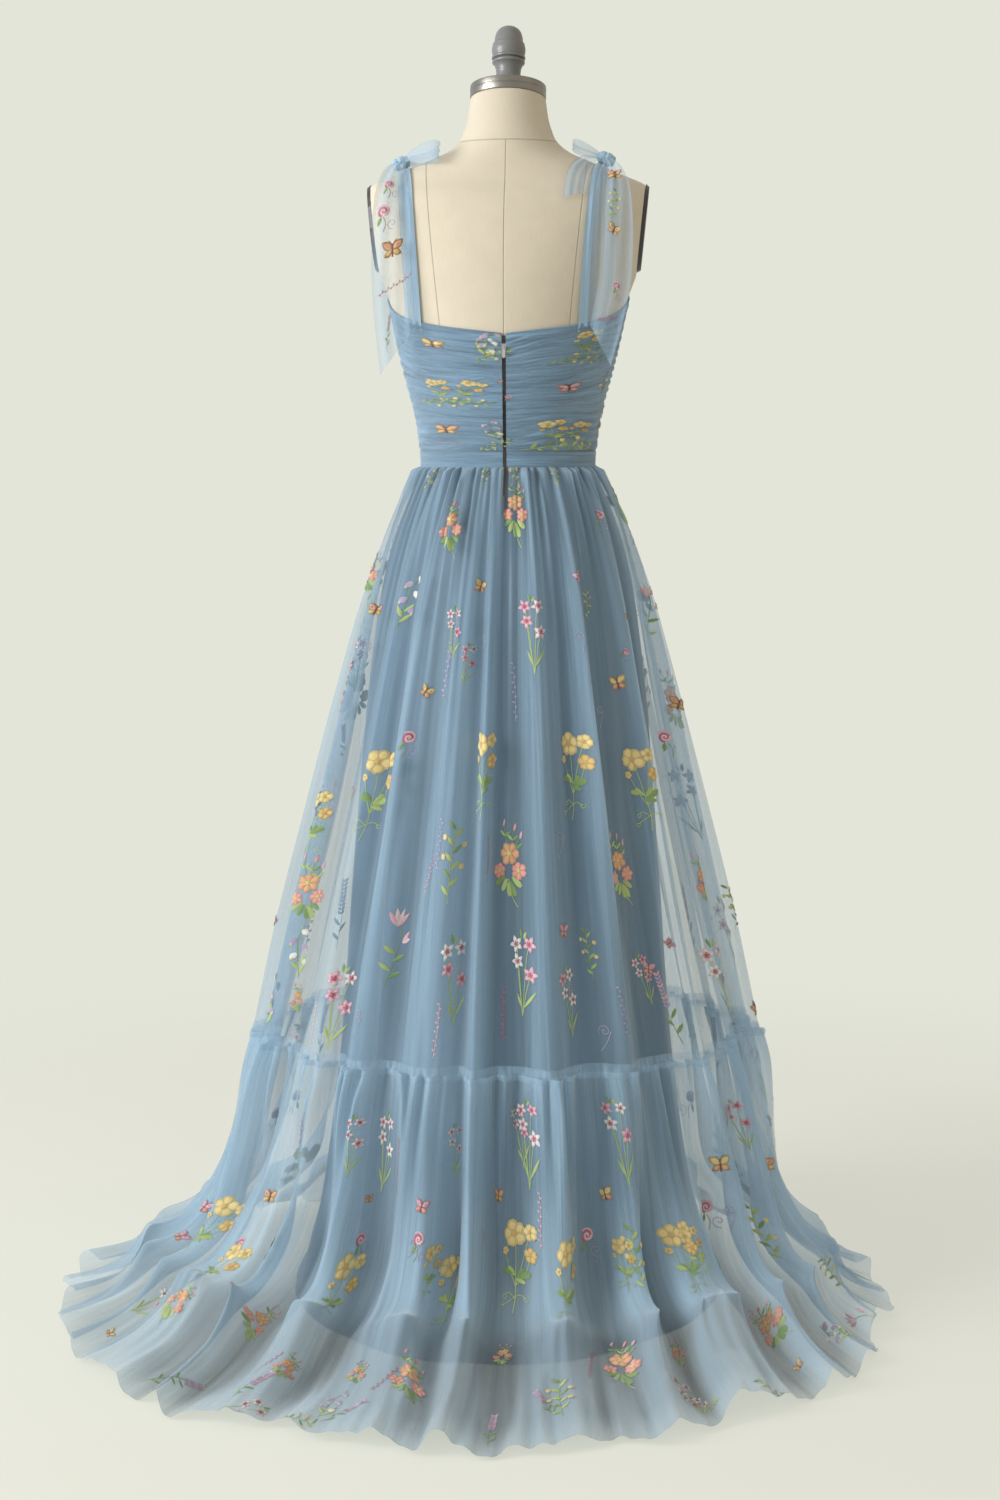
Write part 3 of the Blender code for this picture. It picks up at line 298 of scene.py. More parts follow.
class Cloth:
    """A skirt's surface, read at any depth (0 at its upper seam to 1 at its hem) and turn."""

    gathers, puffs, creases, head = 0, 0, None, None
    ripple, off, deepened, hem_lift, least_fold = 0.0, 0.0, 0.3, 0.0, 0.0

    def __init__(self, rows, folds, hem_folds, seed, **make):
        index = np.arange(len(rows["z"]), dtype=float)
        self.depths = np.linspace(0, 1, 1201)
        at = self.depths * index[-1]
        self.rows = {name: curve(at, index, values) for name, values in rows.items()}
        self.folds, self.hem_folds, self.seed = folds, hem_folds, seed
        vars(self).update(make)

    def columns(self, depth):
        return {name: np.interp(depth, self.depths, values) for name, values in self.rows.items()}

    def middle(self, depth, turn):
        """The smooth surface that the folds lie on."""
        column = self.columns(depth)
        a = FULL_TURN * turn
        sine, cosine = np.sin(a), np.cos(a)
        wander = 0.014 * np.sin(7 * a + 1.0) + 0.011 * np.sin(11 * a + 2.4) + 0.008 * np.sin(17 * a)
        ragged = 0.012 * np.sin(29 * a + 1.3) * np.sin(5 * a) + 0.009 * np.sin(43 * a + 2 * np.sin(3 * a))
        reach = 1 + column["stray"] * wander * (0.35 + 0.65 * np.clip(0.6 + cosine, 0, 1))
        reach = reach + column["stray"] * (ragged - 0.008)
        x = np.where(sine < 0, column["left"], column["right"]) * sine * reach
        deep = np.where(cosine > 0, column["back"] + column["centre"], column["front"] - column["centre"])
        y = column["centre"] - deep * cosine * reach
        end_z = np.where(cosine > 0, column["back_z"], column["front_z"])
        z = column["z"] + (end_z - column["z"]) * cosine**2
        return np.stack([x, y, z], axis=-1)

    def fold_size(self, depth, column):
        tall = np.maximum(column["fold"], self.least_fold * ease(depth, 0.5, 0.7))
        return tall * (1 + self.deepened * np.sin(math.pi * depth))

    def height(self, depth, turn):
        """How far the folds, gathers and creases stand off the middle."""
        column = self.columns(depth)
        a, fan = FULL_TURN * turn, column["fan"]
        fold = waves(turn, self.folds, self.seed) * (1 - fan)
        fold = fold + waves(turn, self.hem_folds, self.seed + 1.3) * fan
        fold = 2 * np.clip((fold + 1) / 2, 0, 1) ** 1.35 - 0.9
        total = self.fold_size(depth, column) * (fold + column["lift"])
        ruffle = np.sin(23 * a + 3.0 * np.sin(4 * a) + 4 * depth) * np.sin(9 * a + 1.5 * depth)
        ruffle = ruffle + 0.5 * np.sin(57 * a + 2 * np.sin(7 * a)) * np.sin(15 * a + 2)
        total = total + self.hem_lift * ease(depth, 0.62, 1.0) * np.clip(ruffle, 0, 1)
        phase = self.gathers * a + 1.7 * np.sin(5 * a + 0.4) + 1.2 * np.sin(13 * a + 2.0)
        pinch = np.abs(np.cos((phase + 0.8 * np.sin(23 * a)) / 2)) ** 1.2 * 2 - 1
        uneven = 0.75 + 0.25 * np.sin(9 * a + self.seed) + 0.3 * np.sin(23 * a + 1.7)
        fade = np.exp(-depth / (0.16 + 0.10 * np.sin(31 * a + 0.6) * np.sin(6 * a)))
        total = total + column["gather"] * (0.2 + 2.6 * fade) * uneven * pinch
        if self.puffs:
            puff = np.cos(self.puffs * a + 1.5 * np.sin(4 * a + 1) + 1.1 * np.sin(9 * a + 2.5))
            window = ease(depth, 0.0, 0.035) * np.exp(-depth / 0.20)
            total = total + 0.0062 * window * (0.7 + 0.3 * np.sin(7 * a + 0.5)) * puff
        if self.creases is not None:
            total = total + self.creased(depth, turn)[0]
        fine = np.sin(83 * a + 9 * depth + 1.5 * np.sin(7 * a)) * np.sin(19 * a + 2.1)
        finer = np.sin(147 * a - 6 * depth) * np.sin(11 * a + 3 * depth + 0.8)
        return total + self.ripple * (fine + 0.7 * finer) * (0.8 + 0.5 * fan)

    def creased(self, depth, turn):
        """Height of the creases, and how much more net lies doubled along them."""
        height, doubled = 0.0, 0.0
        for turn_at, start, end, tall, width, slant in zip(*self.creases.values()):
            away = aside(turn - turn_at - slant * depth)
            lean = np.where(away * np.sign(slant + 1e-9) > 0, 0.55, 1.25)
            window = ease(depth, start, start + 0.12) * (1 - ease(depth, end - 0.25, end))
            shape = window * mound(away, 0.0, width * (0.55 + 0.6 * depth) * lean)
            height = height + tall * shape
            doubled = doubled + shape * abs(tall) / 0.005
        return height, doubled

    def painted_shade(self, depth, turn, dim, under):
        """How much painted shade darkens the net: dim in the hollows of folds, and under over the train's
        middle.
        """
        column = self.columns(depth)
        tall = self.fold_size(depth, column)
        level = self.height(depth, turn) - tall * column["lift"]
        low = ease(-level / (tall + column["gather"] + 0.002), -0.3, 0.9)
        train = 0.4 * ease(depth, 0.12, 0.5) + 0.6 * ease(depth, 0.52, 0.72) - 0.45 * ease(depth, 0.88, 1.0)
        return dim * low + under * train * mound(aside(turn), 0.035, 0.20) * (0.8 + 0.2 * low)

    def outward(self, depth, turn):
        """The way folds are raised: level where the cloth hangs, square to it where it lies."""
        small, narrow = 0.002, 0.0004
        down = self.middle(np.clip(depth + small, 0, 1), turn)
        down = down - self.middle(np.clip(depth - small, 0, 1), turn)
        along = self.middle(depth, turn + narrow) - self.middle(depth, turn - narrow)
        out = unit(np.cross(down, along))
        out[..., 2] *= np.clip(self.columns(depth)["lift"], 0, 1)
        return unit(out)

    def __call__(self, depth, turn):
        depth, turn = np.broadcast_arrays(np.asarray(depth, float), np.asarray(turn, float))
        height = self.height(depth, turn) - self.off
        points = self.middle(depth, turn) + height[..., None] * self.outward(depth, turn)
        if self.head is not None:
            tucked = ((1 - ease(depth, 0.0, HEAD_DEPTH)) * (depth < HEAD_DEPTH))[..., None]
            points = points + tucked * (self.head(turn) - points)
        points[..., 2] = np.maximum(points[..., 2], FLOOR_CLEAR)
        return points


def band_foot(turn):
    """Where the gathers start, under the waistband's lower edge."""
    return form_point(turn, WAIST + 0.0006, 0.0026)


def with_small(creases, count, seed, tall, reach):
    """The listed creases, and many small ones that run between them."""
    pick = np.random.default_rng(seed)
    start = pick.uniform(-0.1, 0.75, count)
    small = {
        "turn": pick.uniform(-0.25, 0.75, count),
        "start": start,
        "end": start + pick.uniform(0.2, reach, count),
        "height": tall * pick.uniform(0.5, 1.3, count) * pick.choice((-1, 1, 1), count),
        "width": pick.uniform(0.0024, 0.0060, count),
        "slant": pick.uniform(-0.02, 0.02, count),
    }
    return {name: np.concatenate((creases[name], small[name])) for name in creases}


HEAD_DEPTH = 0.022  # share of the upper tier that is drawn in under the waistband
FOLDS = {"folds": 21, "hem_folds": 27, "seed": 0.5, "off": 0.0006}
TIER_CLOTH = Cloth(
    TIER, **FOLDS, gathers=56, puffs=27, creases=with_small(TIER_CREASES, 60, 11, 0.0024, 0.8),
    ripple=0.0008, head=band_foot, deepened=0.5,
)
FLOUNCE_CLOTH = Cloth(
    FLOUNCE, **FOLDS, gathers=76, creases=with_small(FLOUNCE_CREASES, 80, 12, 0.0046, 0.6),
    ripple=0.0014, deepened=0.8, hem_lift=0.012, least_fold=0.0105,
)
LINING_CLOTH = Cloth(LINING, 10, 10, 2.0, off=0.0004)


# ---- Meshes


def surface_normals(points):
    """Unit normals of a grid of points; rows run down and columns round the gown."""
    return unit(np.cross(np.gradient(points, axis=0), np.gradient(points, axis=1)))


def quads_of(index):
    """Faces of a grid of point numbers, facing row direction x column direction."""
    corners = (index[:-1, :-1], index[1:, :-1], index[1:, 1:], index[:-1, 1:])
    return np.stack(corners, axis=-1).reshape(-1, 4)


def quad_mesh(points, quads, uv, values, colours=None):
    """A smooth mesh of four-sided faces, with UVs in metres and values or colours at its points."""

    def put(data, name, numbers, kind=np.float32):
        data.foreach_set(name, np.asarray(numbers).reshape(-1).astype(kind))

    mesh = bpy.data.meshes.new("cloth")
    mesh.vertices.add(len(points))
    put(mesh.vertices, "co", points)
    mesh.loops.add(quads.size)
    put(mesh.loops, "vertex_index", quads, np.int32)
    mesh.polygons.add(len(quads))
    put(mesh.polygons, "loop_start", 4 * np.arange(len(quads)), np.int32)
    put(mesh.uv_layers.new(name="Cloth").data, "uv", uv[quads.reshape(-1)])
    for name, numbers in values.items():
        put(mesh.attributes.new(name, "FLOAT", "POINT").data, "value", numbers)
    if colours is not None:
        rgba = np.concatenate([colours, np.ones((len(colours), 1))], axis=1)
        put(mesh.color_attributes.new("thread", "FLOAT_COLOR", "POINT").data, "color", rgba)
    mesh.update(calc_edges=True)
    mesh.shade_smooth()
    mesh.validate()
    return mesh


def cloth_uv(points):
    """UVs in metres: the way along each row, and the way down from the first row."""
    u = np.cumsum(np.linalg.norm(np.diff(points, axis=1), axis=-1), axis=1).mean(axis=0)
    v = np.cumsum(np.linalg.norm(np.diff(points, axis=0), axis=-1), axis=0).mean(axis=1)
    u, v = np.concatenate(([0], u)), np.concatenate(([0], v))
    return np.stack(np.broadcast_arrays(u[None, :], -v[:, None]), axis=-1)


def finish_object(name, mesh, material, slot, *nodes):
    """Makes an object of a mesh, rides it on the gown's body and gives it its finish."""
    mesh.name = name
    obj = bpy.data.objects.new(name, mesh)
    bpy.context.scene.collection.objects.link(obj)
    mesh.materials.clear()
    mesh.materials.append(material)
    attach(obj, BODY)
    if nodes:
        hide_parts(*nodes)
    return obj


def cloth_piece(name, points, material, slot, *nodes, **values):
    """A finished piece from a grid of points, with values that its material reads."""
    index = np.arange(points.shape[0] * points.shape[1]).reshape(points.shape[:2])
    mesh = quad_mesh(points.reshape(-1, 3), quads_of(index), cloth_uv(points).reshape(-1, 2), values)
    return finish_object(name, mesh, material, slot, *nodes)


def close_up(obj, near=0.00001, steps=0):
    """Spins an outline where steps are given, and joins what meets into one closed skin."""
    bpy.ops.object.select_all(action="DESELECT")
    bpy.context.view_layer.objects.active = obj
    obj.select_set(True)
    bpy.ops.object.mode_set(mode="EDIT")
    bpy.ops.mesh.select_all(action="SELECT")
    if steps:
        bpy.ops.mesh.spin(steps=steps, angle=FULL_TURN, center=(0, 0, 0), axis=(0, 0, 1))
        bpy.ops.mesh.select_all(action="SELECT")
    bpy.ops.mesh.remove_doubles(threshold=near)
    bpy.ops.mesh.normals_make_consistent(inside=False)
    bpy.ops.object.mode_set(mode="OBJECT")


# ---- Shader building


def fill(tree, node, inputs):
    """Gives a node its inputs, by name or number: values, or other nodes' outputs."""
    for name, value in inputs.items():
        if isinstance(value, bpy.types.NodeSocket):
            tree.links.new(value, node.inputs[name])
        else:
            node.inputs[name].default_value = value
    return node


def add(tree, kind, inputs=None, **settings):
    node = tree.nodes.new(kind)
    for name, value in settings.items():
        setattr(node, name, value)
    return fill(tree, node, inputs or {})


def maths(operation, *values):
    """A Math node in the tree that its inputs come from."""
    tree = next(value.id_data for value in values if isinstance(value, bpy.types.NodeSocket))
    return add(tree, "ShaderNodeMath", dict(enumerate(values)), operation=operation).outputs[0]


def times(*values):
    """The product of two or more values."""
    product = values[0]
    for value in values[1:]:
        product = maths("MULTIPLY", product, value)
    return product


def fitted(value, low, high, start=0.0, end=1.0):
    """A value between low and high, fitted to run from start to end."""
    limits = {"Value": value, 1: low, 2: high, 3: start, 4: end}
    return add(value.id_data, "ShaderNodeMapRange", limits).outputs[0]


def tinted(low, high, factor):
    """A colour between two, by a factor from 0 to 1."""
    ramp = add(factor.id_data, "ShaderNodeValToRGB", {0: factor})
    for element, colour in zip(ramp.color_ramp.elements, (low, high)):
        element.color = (*colour, 1)
    return ramp.outputs[0]


def uneven(colour, less, more, factor):
    """A colour shaded between two strengths, by a factor from 0 to 1."""
    return tinted(shade(colour, less), shade(colour, more), factor)


def shade(colour, by):
    return tuple(min(c * by, 1.0) for c in colour)


def blended(tree, factor, first, second, **settings):
    """Two colours mixed, or multiplied where the settings say so."""
    inputs = {0: factor, 6: first, 7: second}
    return add(tree, "ShaderNodeMix", inputs, data_type="RGBA", **settings).outputs[2]


def raised(height, distance, strength):
    """The normals of a surface with this relief, its depth in metres."""
    relief = {"Height": height, "Distance": distance, "Strength": strength}
    return add(height.id_data, "ShaderNodeBump", relief).outputs[0]


def attribute(tree, name, output="Fac"):
    return add(tree, "ShaderNodeAttribute", attribute_name=name).outputs[output]


def cloth_place(tree):
    return add(tree, "ShaderNodeUVMap", uv_map="Cloth").outputs[0]


def place_of(tree):
    return add(tree, "ShaderNodeTexCoord").outputs["Object"]


def parts_of(vector):
    return add(vector.id_data, "ShaderNodeSeparateXYZ", {0: vector}).outputs


def joined(x, y):
    """A flat place from two values."""
    tree = next(value.id_data for value in (x, y) if isinstance(value, bpy.types.NodeSocket))
    return add(tree, "ShaderNodeCombineXYZ", {0: x, 1: y}).outputs[0]


def net_pattern(group, given):
    """Fine six-sided net: 1 on the threads and 0 in the holes."""
    looks = {"feature": "DISTANCE_TO_EDGE", "voronoi_dimensions": "2D"}
    inputs = {"Vector": given["Vector"], "Scale": given["Cells a metre"]}
    edges = add(group, "ShaderNodeTexVoronoi", inputs, **looks).outputs["Distance"]
    return {"Thread": fitted(edges, 0.02, 0.16, 1.0, 0.0)}


def streak_pattern(group, given):
    """Soft streaks along the cloth, from 0 to 1, as where fine folds crowd its threads."""
    x, y, _ = parts_of(given["Vector"])
    place = joined(times(x, given["Across"]), times(y, given["Along"]))
    inputs = {"Vector": place, "Scale": 1.0, "Detail": 3.0, "Distortion": 0.6}
    noise = add(group, "ShaderNodeTexNoise", inputs).outputs[0]
    return {"Value": fitted(noise, 0.2, 0.8)}


def weave_pattern(group, given):
    """Plain weave: threads over and under each other, from 0 to 1, and their slubs."""
    x, y, _ = parts_of(given["Vector"])
    threads = given["Threads a metre"]
    crossed = times(*(maths("SINE", times(axis, threads, math.pi)) for axis in (x, y)))
    stretch = {0: given["Vector"], 1: (900, 60, 900)}
    long = add(group, "ShaderNodeVectorMath", stretch, operation="MULTIPLY").outputs[0]
    slub = add(group, "ShaderNodeTexNoise", {"Vector": long, "Scale": 1.0, "Detail": 2.0}).outputs[0]
    return {"Height": maths("MULTIPLY_ADD", crossed, 0.5, 0.5), "Slubs": times(slub, given["Slub"])}


def grain_pattern(group, given):
    """Uneven tone, from 0 to 1, for paint, metal and plastic."""
    inputs = {"Vector": given["Vector"], "Scale": given["Scale"], "Detail": 5.0}
    return {"Value": add(group, "ShaderNodeTexNoise", inputs).outputs[0]}


# Node groups: what they draw, their outputs, and their inputs with defaults beside the place
PATTERNS = {
    "Net": (net_pattern, ("Thread",), {"Cells a metre": 900.0}),
    "Streaks": (streak_pattern, ("Value",), {"Across": 60.0, "Along": 3.0}),
    "Weave": (weave_pattern, ("Height", "Slubs"), {"Threads a metre": 1500.0, "Slub": 0.3}),
    "Grain": (grain_pattern, ("Value",), {"Scale": 60.0}),
}


def pattern(name, place, **values):
    """Outputs of a node group laid by place; the group is built on its first use."""
    group = bpy.data.node_groups.get(name)
    draw, outputs, inputs = PATTERNS[name]
    if group is None:
        group = bpy.data.node_groups.new(name, "ShaderNodeTree")
        group.interface.new_socket("Vector", in_out="INPUT", socket_type="NodeSocketVector")
        for label, value in inputs.items():
            socket = group.interface.new_socket(label, in_out="INPUT", socket_type="NodeSocketFloat")
            socket.default_value = value
        for label in outputs:
            group.interface.new_socket(label, in_out="OUTPUT", socket_type="NodeSocketFloat")
        given = add(group, "NodeGroupInput").outputs
        fill(group, add(group, "NodeGroupOutput"), draw(group, given))
    given = {"Vector": place} | {label.replace("_", " ").capitalize(): values[label] for label in values}
    return add(place.id_data, "ShaderNodeGroup", given, node_tree=group).outputs


def material(make):
    """Builds a material once for each name; its maker gives the main shader's inputs."""

    def find(name, *values):
        found = bpy.data.materials.get(name)
        if found is None:
            found = bpy.data.materials.new(name)
            found.use_nodes = True
            tree = found.node_tree
            fill(tree, tree.nodes["Principled BSDF"], make(tree, *values))
        return found

    return find


THROUGH_LIGHT = 0.27  # painted light: the net glows with this share of its tone, standing for light that it scatters on from its far side
PAINTED_SHADE_TONE = (0.285, 0.375, 0.43, 1)  # painted shade: the greyer tone the net turns to in the hollows of folds, where less light comes back
HEM_LIGHT_TONE = (0.30, 0.37, 0.40, 1)  # painted light: the lining's paler hem, where light from the floor comes through it


@material
def net_material(tree, colour, sheer, streak_across=90.0):
    """Tulle: the more threads the eye meets along its line, the denser it looks."""
    uv = cloth_place(tree)
    net = pattern("Net", uv, cells_a_metre=850.0)[0]
    broad = pattern("Streaks", uv, across=streak_across, along=2.2)[0]
    fine = pattern("Streaks", uv, across=4.2 * streak_across, along=5.0)[0]
    facing = add(tree, "ShaderNodeLayerWeight", {"Blend": 0.5}).outputs["Facing"]
    square = maths("MAXIMUM", maths("SUBTRACT", 1.0, facing), 0.82)
    crowd = times(maths("MULTIPLY_ADD", broad, 0.65, 0.77), maths("MULTIPLY_ADD", fine, 0.6, 0.7))
    layers = times(attribute(tree, "layers"), crowd, maths("MULTIPLY_ADD", net, 0.9, 0.6))
    clear = maths("POWER", 1.0 - sheer, maths("DIVIDE", layers, square))
    # Painted shade: the tone greys and darkens by the mesh's shade values, in fold hollows and over the
    # train's middle
    painted_shade = attribute(tree, "painted_shade")
    tone = blended(tree, painted_shade, uneven(colour, 0.86, 1.12, broad), PAINTED_SHADE_TONE)
    lit = {0: tone, "Scale": maths("SUBTRACT", 1.0, painted_shade)}
    tone = add(tree, "ShaderNodeVectorMath", lit, operation="SCALE").outputs[0]
    return {
        "Base Color": tone, "Alpha": maths("SUBTRACT", 1.0, clear),
        # the glow is painted light, for light scattered through the net
        "Emission Color": tone, "Emission Strength": THROUGH_LIGHT,
        "Roughness": 0.75, "Specular IOR Level": 0.25,
        "Sheen Weight": 0.8, "Sheen Roughness": 0.4, "Sheen Tint": (0.80, 0.92, 1.0, 1),
        "Normal": raised(net, 0.0002, 0.5),
    }


@material
def cloth_material(tree, colour, roughness, sheen, threads, streak):
    """Woven cloth with a fine weave, soft streaks and a sheen."""
    uv = cloth_place(tree)
    height, slubs = pattern("Weave", uv, threads_a_metre=threads, slub=0.5)
    streaks = pattern("Streaks", uv, across=26.0, along=3.0)[0]
    tone = uneven(colour, 1 - streak, 1 + streak, streaks)
    return {
        # Painted light: the lining pales towards its hem by the mesh's hem values
        "Base Color": blended(tree, attribute(tree, "hem"), tone, HEM_LIGHT_TONE),
        "Roughness": roughness, "Sheen Weight": sheen,
        "Normal": raised(maths("ADD", height, slubs), 0.00012, 0.6),
    }


@material
def ruched_material(tree, colour):
    """Net ruched over its backing: threads crowd into fine lines across the bodice."""
    uv = cloth_place(tree)
    turned = add(tree, "ShaderNodeMapping", {"Vector": uv, "Rotation": (0, 0, math.pi / 2)}).outputs[0]
    fine = pattern("Streaks", turned, across=420.0, along=14.0)[0]
    broad = pattern("Streaks", turned, across=110.0, along=9.0)[0]
    mixed = maths("MULTIPLY_ADD", fine, 0.45, times(broad, 0.55))
    net = pattern("Net", uv, cells_a_metre=1100.0)[0]
    return {
        "Base Color": uneven(colour, 0.34, 1.55, mixed), "Roughness": 0.7,
        "Sheen Weight": 1.0, "Sheen Roughness": 0.38, "Sheen Tint": (0.78, 0.91, 1.0, 1),
        "Normal": raised(maths("ADD", times(net, 0.3), mixed), 0.0010, 0.9),
    }


def seam_distance(x, y, z):
    """How far a place on the torso lies from its nearest seam: centre, princess or neck seam."""
    out = maths("ABSOLUTE", x)
    princess_at = maths("ADD", times(maths("SUBTRACT", z, 1.24), 0.10), 0.083)
    princess = maths("ABSOLUTE", maths("SUBTRACT", out, princess_at))
    side = maths("ADD", maths("ABSOLUTE", y), maths("LESS_THAN", out, 0.1))
    nearest = maths("MINIMUM", maths("MINIMUM", out, princess), side)
    body = maths("ADD", nearest, maths("GREATER_THAN", z, NECK_SEAM))
    return maths("MINIMUM", body, maths("ABSOLUTE", maths("SUBTRACT", z, NECK_SEAM)))


NECK_SEAM = 1.487
SEAM_DARK = 0.38


@material
def linen_material(tree, colour):
    """Natural linen with slubs, and the form's seams as fine dark furrows."""
    place = place_of(tree)
    x, y, z = parts_of(place)
    girth = times(maths("ARCTAN2", x, times(y, -1.0)), 0.15)
    height, slubs = pattern("Weave", joined(girth, z), threads_a_metre=1100.0, slub=1.0)
    grain = pattern("Grain", place, scale=35.0)[0]
    seam = fitted(seam_distance(x, y, z), 0.0002, 0.0011, 1.0, 0.0)
    tone = uneven(colour, 0.86, 1.08, maths("MULTIPLY_ADD", slubs, 0.6, times(grain, 0.5)))
    relief = maths("SUBTRACT", maths("ADD", height, slubs), times(seam, 4.0))
    return {
        "Base Color": blended(tree, times(seam, 0.5), tone, (*shade(colour, SEAM_DARK), 1)),
        "Roughness": 0.85, "Sheen Weight": 0.15, "Normal": raised(relief, 0.00022, 0.7),
    }


@material
def hard_material(tree, colour, roughness, metallic, wear, scale, coat=0.0):
    """Metal, paint or plastic with an uneven tone and gloss."""
    grain = pattern("Grain", place_of(tree), scale=scale)[0]
    return {
        "Base Color": uneven(colour, 1 - wear, 1 + wear, grain),
        "Roughness": maths("MULTIPLY_ADD", grain, 0.3 * roughness, 0.85 * roughness),
        "Metallic": metallic, "Coat Weight": coat, "Normal": raised(grain, 0.0001, 0.4),
    }


@material
def tape_material(tree, colour):
    """Woven tape, its threads laid by place instead of by a UV map."""
    x, _, z = parts_of(place_of(tree))
    height = pattern("Weave", joined(x, z), threads_a_metre=2600.0, slub=0.4)[0]
    tone = uneven(colour, 0.7, 1.4, height)
    return {"Base Color": tone, "Roughness": 0.8, "Normal": raised(height, 0.00015, 0.7)}


@material
def thread_material(tree):
    """Satin stitches in the colours of the motifs."""
    inputs = {"Vector": cloth_place(tree), "Scale": 520.0, "Distortion": 1.5, "Detail": 1.0}
    stitch = add(tree, "ShaderNodeTexWave", inputs, bands_direction="Y").outputs
    colour = attribute(tree, "thread", "Color")
    return {
        "Base Color": blended(tree, 0.22, colour, stitch["Color"], blend_type="MULTIPLY"),
        "Roughness": 0.45, "Sheen Weight": 0.2, "Normal": raised(stitch["Fac"], 0.0003, 0.8),
    }


@material
def floor_material(tree, colour):
    """Pale studio floor that fades into the backdrop round its edge."""
    place = place_of(tree)
    away = add(tree, "ShaderNodeVectorMath", {0: place}, operation="LENGTH").outputs["Value"]
    fade = {"Value": away, 1: 1.0, 2: 2.2, 3: 1.0, 4: 0.0}
    fade = add(tree, "ShaderNodeMapRange", fade, interpolation_type="SMOOTHSTEP").outputs[0]
    tone = uneven(colour, 0.99, 1.01, pattern("Grain", place, scale=4.0)[0])
    return {
        "Base Color": tone, "Emission Color": tone, "Emission Strength": 1.71,
        "Alpha": fade, "Roughness": 0.9, "Specular IOR Level": 0.1,
    }


# ---- Settings


def colour_setting(name, description, *default):
    return FloatVectorProperty(name=name, description=description, subtype="COLOR", default=default)


def length_setting(name, description, default):
    return FloatProperty(name=name, description=description, default=default, unit="LENGTH")


class GownCloth(PropertyGroup):
    """Colours and make of the gown's cloth."""

    tulle_colour: colour_setting("Tulle", "Colour of the net", 0.275, 0.40, 0.50)
    lining_colour: colour_setting("Lining", "Colour of the lining", 0.080, 0.163, 0.243)
    bodice_colour: colour_setting("Bodice", "Colour of the ruched net", 0.176, 0.298, 0.416)
    sheer: FloatProperty(
        name="Cover", description="Share of the view that one flat layer covers", default=0.30, min=0, max=1
    )
    columns: IntProperty(
        name="Columns", description="Points round the skirt", default=720, min=120, max=1440
    )
    ruching: length_setting("Ruching", "Height of the bodice's pleats", 0.0025)


class GownForm(PropertyGroup):
    """Colours and sizes of the dress form."""

    linen_colour: colour_setting("Linen", "Colour of the torso", 0.63, 0.56, 0.43)
    paint_colour: colour_setting("Paint", "Colour of the knob and base", 0.17, 0.17, 0.165)
    cap_radius: length_setting("Cap radius", "Radius of the neck's cap", 0.0497)
    cap_height: length_setting("Cap height", "Height of the neck's cap", 0.0175)


class GownStage(PropertyGroup):
    """Backdrop, floor and light."""

    backdrop: colour_setting("Backdrop", "Colour behind the gown", 0.767, 0.783, 0.690)
    floor: colour_setting("Floor", "Colour of the floor", 0.28, 0.284, 0.250)
    key: FloatProperty(name="Key light", description="Power in watts", default=185.0)
    fill: FloatProperty(name="Fill", description="Strength of the light all round", default=0.74)


def settings(name):
    return getattr(bpy.context.scene, name)


# ---- Stage


def put(name, data, place, turned):
    """Puts a camera or a light in its place."""
    obj = bpy.data.objects.new(name, data)
    obj.location, obj.rotation_euler = place, turned
    bpy.context.scene.collection.objects.link(obj)
    return obj


def make_camera():
    data = bpy.data.cameras.new("Camera")
    data.sensor_width, data.lens = 36.0, CAMERA["lens"]
    turned = (math.radians(90 - CAMERA["pitch"]), 0, math.radians(CAMERA["turn"]))
    bpy.context.scene.camera = put("Camera", data, CAMERA["place"], turned)


def make_key_light(power):
    """A broad soft light from the left, aimed at the gown's middle."""
    data = bpy.data.lights.new("key", "AREA")
    data.energy, data.size, data.color = power, 2.4, (0.98, 0.99, 1.0)
    place, aim = Vector((-3.6, -2.0, 2.1)), Vector((0, 0, 0.9))
    put("key", data, place, (aim - place).to_track_quat("-Z", "Y").to_euler())


def make_world(backdrop, fill_light):
    """A plain backdrop for the camera, and light that comes a little more from the left."""
    world = bpy.data.worlds.new("Studio")
    bpy.context.scene.world = world
    world.use_nodes = True
    tree = world.node_tree
    tree.nodes.clear()
    across = parts_of(add(tree, "ShaderNodeTexCoord").outputs["Generated"])[0]
    tone = tinted((1.0, 1.03, 1.06), (0.80, 0.72, 0.60), fitted(across, -0.9, 0.9))
    lights = [
        add(tree, "ShaderNodeBackground", {"Color": colour, "Strength": strength}).outputs[0]
        for colour, strength in ((tone, fill_light), ((*backdrop, 1), 1.0))
    ]
    ray = add(tree, "ShaderNodeLightPath").outputs["Is Camera Ray"]
    mixed = add(tree, "ShaderNodeMixShader", {0: ray, 1: lights[0], 2: lights[1]})
    add(tree, "ShaderNodeOutputWorld", {0: mixed.outputs[0]})


def make_floor(colour):
    bpy.ops.object.select_all(action="DESELECT")
    bpy.ops.mesh.primitive_circle_add(vertices=96, radius=3.0, fill_type="NGON")
    floor = bpy.context.object
    floor.name = "floor"
    floor.data.materials.append(floor_material("studio floor", colour))
    floor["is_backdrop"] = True


class GOWN_OT_stage(Operator):
    """Camera, lights, backdrop and floor."""

    bl_idname = "gown.stage"
    bl_label = "Studio"

    def execute(self, context):
        look = settings("gown_stage")
        context.scene.view_settings.view_transform = "Standard"
        context.scene.cycles.transparent_max_bounces = 48
        make_camera()
        make_key_light(look.key)
        make_world(look.backdrop, look.fill)
        make_floor(look.floor)
        return {"FINISHED"}


# ---- The form and its stand


